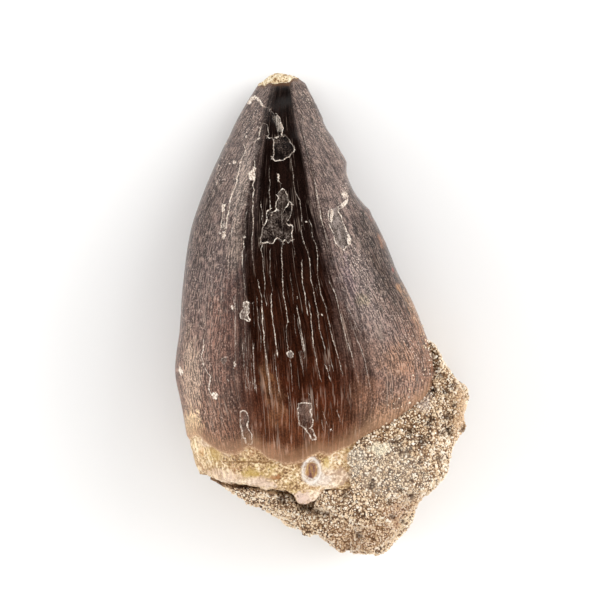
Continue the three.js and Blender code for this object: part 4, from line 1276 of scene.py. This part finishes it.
# The stone's outer side where it tapers off up the tooth, read as x(y).
UPPER_TAPER = [(-8.8, 19.1), (-8.1, 17.7), (-6.3, 16.4), (-5.1, 15.7), (-3.7, 14.9), (-3.2, 14.2),
               (-2.4, 12.6), (0, 11)]
LOWER_REACH = 0.85  # how much further down the stone's foot reaches
GRAIN_SPACING = 0.2
GRAIN_RADII = (0.075, 0.2)
GRAIN_STANDS = 0.15  # each grain's middle stands out of the stone by this share of its radius
GRAIN_CANDIDATES = 90000
GRAIN_PIECES = 3
STAINS_END = 11.0  # the stone's stains fade out below this height
STRAY_GRAINS = 260  # grains left on the enamel by the chipped edge
STONE_COLOURS = [(0.1, srgb(62, 40, 24)), (0.35, srgb(112, 80, 54)), (0.65, srgb(164, 130, 97)),
                 (0.95, srgb(204, 175, 141))]
GRAIN_COLOURS = [(0.03, srgb(70, 45, 27)), (0.13, srgb(142, 108, 78)), (0.26, srgb(214, 186, 152)),
                 (0.6, srgb(242, 220, 190)), (1.0, srgb(254, 246, 231))]


def make_stone(tooth_tree):
    """The CAD stone with an even skin, lumps and pits, closed up to the tooth."""
    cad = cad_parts["matrix"]
    stone = bpy.data.objects.new("sandstone_matrix", cad.data.copy())
    bpy.context.scene.collection.objects.link(stone)
    remesh = stone.modifiers.new("even_skin", "REMESH")
    remesh.mode = "VOXEL"
    remesh.voxel_size = STONE_VOXEL * MM
    relax = stone.modifiers.new("worn", "SMOOTH")
    relax.iterations = 6
    relax.factor = 0.5
    evaluated = stone.evaluated_get(bpy.context.evaluated_depsgraph_get())
    mesh = bpy.data.meshes.new_from_object(evaluated)
    stone.modifiers.clear()
    stone.data = mesh
    mesh.materials.clear()
    mesh.shade_smooth()

    points, normals = points_of(mesh), normals_of(mesh)
    relief = sum(height * noise_at(points, waves, 11.0 * waves) for waves, height in SURFACE_LUMPS)
    plan = on_plan(points)
    relief -= PIT_DEPTH * pitted(plan, points[:, 2])

    # The wall of the socket meets the tooth, so nothing shows between them.
    socket = np.zeros(len(points))
    for i, (p, n) in enumerate(zip(points, normals)):
        near, _, _, away = tooth_tree.find_nearest(Vector(p))
        if away < GAP_REACH and away > 1e-6:
            towards = (near - Vector(p)) / away
            if towards.dot(Vector(n)) > SOCKET_FACING:
                points[i] = np.array(near + towards * SOCKET_OVERLAP)
                socket[i] = 1
    points += normals * (relief * (1 - socket))[:, None]
    taper_y, taper_x = np.array(UPPER_TAPER).T
    plan = on_plan(points)
    outside = plan[:, 0] + 0.12 * noise_at(points, 1.4) - np.interp(plan[:, 1], taper_y, taper_x)
    points[:, 0] -= np.clip(outside, 0, None) * (plan[:, 1] > taper_y[0])
    points[:, 1] -= LOWER_REACH * smooth_step(plan[:, 1], -25.0, -28.2)
    points[:, 2] = np.maximum(points[:, 2], 0.0)
    set_points(mesh, points)
    keep_place(mesh, points)
    return stone


def pitted(plan, z):
    """How deep in a pit each place of the stone is, from 0 to 1."""
    depth = np.zeros(len(plan))
    for x, y, radius in STONE_PITS:
        depth = np.maximum(depth, np.exp(-(np.hypot(*(plan - (x, y)).T) / radius) ** 2))
    return depth * smooth_step(z, 9.0, 12.0)


def keep_place(mesh, points):
    """Keeps where each point is seen on the plan, and how deep in a pit it is, for painted shade."""
    plan = on_plan(points)
    low = np.clip(STAINS_END - points[:, 2], 0, None)
    give(mesh, "plan", np.column_stack([plan, low]))
    give(mesh, "pit", pitted(plan + 0.25 * noise_pair(points, 1.7, 0.0, 9.0), points[:, 2]))


def grain_shape():
    """A unit icosahedron: its 12 points and 20 faces."""
    golden = (1 + 5**0.5) / 2
    corners = []
    for a in (-1, 1):
        for b in (-golden, golden):
            corners += [(0, a, b), (a, b, 0), (b, 0, a)]
    corners = np.array(corners) / math.hypot(1, golden)
    faces = []
    side = min(np.linalg.norm(corners[0] - c) for c in corners[1:])
    for i in range(12):
        for j in range(i + 1, 12):
            for k in range(j + 1, 12):
                edges = [np.linalg.norm(corners[p] - corners[q]) for p, q in ((i, j), (j, k), (i, k))]
                if max(edges) < side * 1.01:
                    outward = np.dot(np.cross(corners[j] - corners[i], corners[k] - corners[i]), corners[i])
                    faces.append((i, j, k) if outward > 0 else (i, k, j))
    return corners, np.array(faces)


def random_turns(count):
    """Random rotations, as 3 x 3 matrices."""
    turns = rng.normal(size=(4, count))
    a, b, c, d = turns / np.linalg.norm(turns, axis=0)
    return np.array([
        [1 - 2 * (c * c + d * d), 2 * (b * c - a * d), 2 * (b * d + a * c)],
        [2 * (b * c + a * d), 1 - 2 * (b * b + d * d), 2 * (c * d - a * b)],
        [2 * (b * d - a * c), 2 * (c * d + a * b), 1 - 2 * (b * b + c * c)],
    ]).transpose(2, 0, 1)


def scatter_on(mesh, count):
    """Places spread evenly over a mesh of triangles: their points and the faces' normals."""
    mesh.calc_loop_triangles()
    corners = np.array([t.vertices[:] for t in mesh.loop_triangles])
    points = points_of(mesh)
    a, b, c = points[corners[:, 0]], points[corners[:, 1]], points[corners[:, 2]]
    crossed = np.cross(b - a, c - a)
    area = np.linalg.norm(crossed, axis=1)
    chosen = rng.choice(len(area), size=count, p=area / area.sum())
    u, v = rng.random((2, count))
    flip = u + v > 1
    u, v = np.where(flip, 1 - u, u), np.where(flip, 1 - v, v)
    spots = a[chosen] + u[:, None] * (b - a)[chosen] + v[:, None] * (c - a)[chosen]
    return spots, (crossed / np.maximum(area, 1e-12)[:, None])[chosen]


def thin_out(spots, spacing):
    """Keeps spots that lie at least so far from every spot kept before them."""
    kept = []
    buckets = {}
    cells = np.floor(spots / spacing).astype(int).tolist()
    for i, (x, y, z) in enumerate(cells):
        near = [j for dx in (-1, 0, 1) for dy in (-1, 0, 1) for dz in (-1, 0, 1)
                for j in buckets.get((x + dx, y + dy, z + dz), ())]
        if near and np.min(np.sum((spots[near] - spots[i]) ** 2, axis=1)) < spacing**2:
            continue
        kept.append(i)
        buckets.setdefault((x, y, z), []).append(i)
    return np.array(kept)


def stray_spots(tooth_mesh):
    """Places on the enamel where single grains still cling: by the stone and along the chipped edge."""
    spots, normals = scatter_on(tooth_mesh, GRAIN_CANDIDATES)
    x, y = on_plan(spots).T
    from_edge = right_edge(y) - x
    edge_share = smooth_step(from_edge, 1.2, 0.1) * smooth_step(y, -0.5, -5.0)
    lap_share = smooth_step(np.abs(y + 6.6 + 1.3 * (14 - x)), 2.2, 0.0) * smooth_step(x, 8.0, 12.0)
    share = np.maximum(0.8 * edge_share, 0.25 * lap_share) * (normals[:, 2] > -0.3) * (y > -15)
    chosen = np.flatnonzero(rng.random(len(spots)) < share)[:STRAY_GRAINS]
    return spots[chosen], normals[chosen]


def make_grains(stone, tooth_mesh):
    """Loose sand grains on the bare stone, and strays on the enamel, in a few pieces."""
    spots, normals = scatter_on(stone.data, GRAIN_CANDIDATES)
    bare = (depth_in_tooth(spots) < 0.1) & ~((spots[:, 2] < 0.25) & (normals[:, 2] < -0.5))
    spots, normals = spots[bare], normals[bare]
    kept = thin_out(spots, GRAIN_SPACING)
    strays, stray_normals = stray_spots(tooth_mesh)
    spots = np.concatenate([spots[kept], strays])
    normals = np.concatenate([normals[kept], stray_normals])
    count = len(spots)
    smallest, largest = GRAIN_RADII
    radii = smallest + (largest - smallest) * rng.random(count) ** 1.4
    radii[len(kept):] *= 0.75
    stretch = rng.uniform(0.6, 1.35, (count, 3))
    corners, faces = grain_shape()
    local = corners[None] * (radii[:, None] * stretch)[:, None, :]
    placed = np.einsum("nij,nkj->nki", random_turns(count), local)
    placed += (spots + normals * (GRAIN_STANDS * radii)[:, None])[:, None, :]
    placed[..., 2] = np.maximum(placed[..., 2], 0.0)
    clumps = 0.5 + 0.5 * noise_at(spots, 0.9, 3.0) + 0.4 * noise_at(spots, 2.3, 8.0)
    hollows = smooth_step(noise_at(spots, 2.6, 17.0), 0.18, 0.42)
    tone = np.clip(0.8 * rng.random(count) + 0.3 * clumps + 0.1 - 0.38 * hollows, 0, 1)
    pieces = []
    for part in range(GRAIN_PIECES):
        mine = np.arange(part, count, GRAIN_PIECES)
        index = (faces[None] + (np.arange(len(mine)) * len(corners))[:, None, None]).reshape(-1, 3)
        piece = mesh_from(f"sand_grains_{part + 1}", placed[mine].reshape(-1, 3), index.tolist())
        give(piece.data, "grain_tone", np.repeat(tone[mine], len(corners)))
        keep_place(piece.data, np.repeat(spots[mine], len(corners), axis=0))
        map_grains(piece.data, len(mine), corners, faces)
        pieces.append(piece)
    return pieces


def map_grains(mesh, count, corners, faces):
    """A map for baking: each grain has a small square of it to itself."""
    side = math.ceil(math.sqrt(count))
    cell = np.stack([np.arange(count) % side, np.arange(count) // side], axis=1) / side
    own = 0.5 + 0.3 * corners[:, :2]
    uv = (cell[:, None, :] + own[faces.reshape(-1)][None] / side).reshape(-1, 2)
    layer = mesh.uv_layers.new(name="OFBake")
    layer.data.foreach_set("uv", uv.astype(np.float32).ravel())


def make_sandstone():
    made, g, shader = material("phosphate_sandstone")
    place = g.own_place()
    wander = g.stir(0.0, (g.noise(place, 0.8, detail=4.0, roughness=0.7), 2.6))
    fine = g.place(sand, vector=place, grains_per_mm=3.4)
    cloud = g.place(mottle, vector=place, blotches=0.5, grain=1.8, grain_share=0.8)["Tone"]
    colour = g.ramp(g.total(0.0, (fine["Tone"], 0.5), (cloud, 0.5)), STONE_COLOURS)
    colour = with_stains_and_sheen(g, colour, g.read("plan", vector=True), STONE_STAINS, wander)
    colour = g.lay(colour, srgb(52, 33, 20), fine["Gap"], 0.6)
    # Painted shade: the stone is darkened in its pits.
    colour = g.lay(colour, srgb(70, 46, 28), g.read("pit"), 0.9)
    g.feed(shader["Base Color"], colour)
    g.feed(shader["Roughness"], g.span(fine["Tone"], 0.0, 1.0, 0.95, 0.8))
    g.feed(shader["Normal"], g.bump(fine["Height"], 0.12, 0.9))
    return made


def make_grain_material():
    made, g, shader = material("loose_sand_grains")
    place = g.own_place()
    wander = g.stir(0.0, (g.noise(place, 0.8, detail=4.0, roughness=0.7), 2.6))
    tone = g.read("grain_tone")
    colour = g.ramp(tone, GRAIN_COLOURS)
    tinted = with_stains_and_sheen(g, colour, g.read("plan", vector=True), STONE_STAINS, wander)
    colour = g.lay(colour, tinted, g.span(tone, 0.0, 0.5, 0.3, 1.0))
    speck = g.place(mottle, vector=place, blotches=4.0, grain=14.0, grain_share=0.8)["Tone"]
    colour = g.lay(colour, srgb(140, 108, 78), g.span(speck, 0.5, 0.1, 0.0, 0.3))
    # Painted shade: the grains are darkened in the pits.
    colour = g.lay(colour, srgb(78, 52, 32), g.read("pit"), 0.85)
    g.feed(shader["Base Color"], colour)
    g.feed(shader["Roughness"], g.span(speck, 0.0, 1.0, 0.9, 0.6))
    g.feed(shader["Normal"], g.bump(speck, 0.03, 0.6))
    return made


# ---------------------------------------------------------------- build
tooth, grid = make_tooth()
carve_tooth(tooth, grid)
map_tooth(tooth.data, grid)
for finish in (make_enamel(), make_collar_bone()):
    tooth.data.materials.append(finish)
# Bone covers the rows below the enamel and the fan round the root end's hub.
first_point = np.array([p.vertices[0] for p in tooth.data.polygons])
below_enamel = first_point // grid["columns"] < BREAK_ROWS - 1 + COLLAR_ROWS
root_fan = first_point == grid["rows"] * grid["columns"]
tooth.data.polygons.foreach_set("material_index", (below_enamel | root_fan).astype(np.int32))
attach(tooth, "root")
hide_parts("tooth")

tooth_tree = bvhtree.BVHTree.FromPolygons(
    points_of(tooth.data).tolist(), [p.vertices[:] for p in tooth.data.polygons])
stone = make_stone(tooth_tree)
stone.data.materials.append(make_sandstone())
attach(stone, "root")
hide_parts("matrix")

grain_material = make_grain_material()
for grains in make_grains(stone, tooth.data):
    grains.data.materials.append(grain_material)
    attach(grains, "root")

# ---------------------------------------------------------------- studio
FLOOR_REACH = 3000.0
FLOOR_LEVEL = -0.02  # just clear of the underside
# A broad, far-off light each: where it comes from, how strong it is, and how many degrees wide.
LIGHTS = {
    "key_light": ((0.72, 0.42, 0.62), 1.15, 45),
    "fill_light": ((-0.75, 0.1, 0.6), 0.5, 60),
    "top_light": ((0.05, 0.1, 1), 1.15, 60),
}

scene = bpy.context.scene
scene.view_settings.view_transform = "Standard"

floor_corners = [(x, y, FLOOR_LEVEL) for x, y in ((-1, -1), (1, -1), (1, 1), (-1, 1))]
floor = mesh_from("floor", np.array(floor_corners) * (FLOOR_REACH, FLOOR_REACH, 1), [(0, 1, 2, 3)])
pale, g, shader = material("pale_floor")
g.feed(shader["Base Color"], srgb(246, 246, 246))
shader["Roughness"].default_value = 0.9
shader["Specular IOR Level"].default_value = 0.1
floor.data.materials.append(pale)

# The studio's walls are what the enamel mirrors, so the lights have no glare of their own.
world = bpy.data.worlds.new("studio")
scene.world = world
world.use_nodes = True
world.node_tree.nodes.clear()
g = Graph(world.node_tree)
sideways, ahead, up = g.split(g.add("ShaderNodeTexCoord").outputs["Generated"])
side_walls = g.span(g.math("ABSOLUTE", sideways), 0.5, 0.85, 0.03, 2.0)
front_wall = g.span(ahead, -0.2, -0.6, 0.03, 1.0)
horizon = g.span(up, 0.04, 0.015, 0.03, 1.15)
brightness = g.most(side_walls, front_wall, horizon)
background = g.add("ShaderNodeBackground", {"Color": srgb(255, 253, 250), "Strength": brightness})
g.feed(g.add("ShaderNodeOutputWorld").inputs["Surface"], background.outputs[0])

for name, (come_from, strength, degrees) in LIGHTS.items():
    light = bpy.data.lights.new(name, "SUN")
    light.energy = strength
    light.angle = math.radians(degrees)
    lamp = bpy.data.objects.new(name, light)
    lamp.rotation_euler = Vector(come_from).to_track_quat("Z", "Y").to_euler()
    lamp.visible_glossy = False
    scene.collection.objects.link(lamp)

lens = bpy.data.cameras.new("camera")
lens.lens = SENSOR * (EYE[2] - PLAN_LEVEL) / FRAME_WIDTH
lens.sensor_width = SENSOR
lens.clip_start, lens.clip_end = 0.01, 20
camera = bpy.data.objects.new("camera", lens)
camera.location = Vector(EYE) * MM
scene.collection.objects.link(camera)
scene.camera = camera
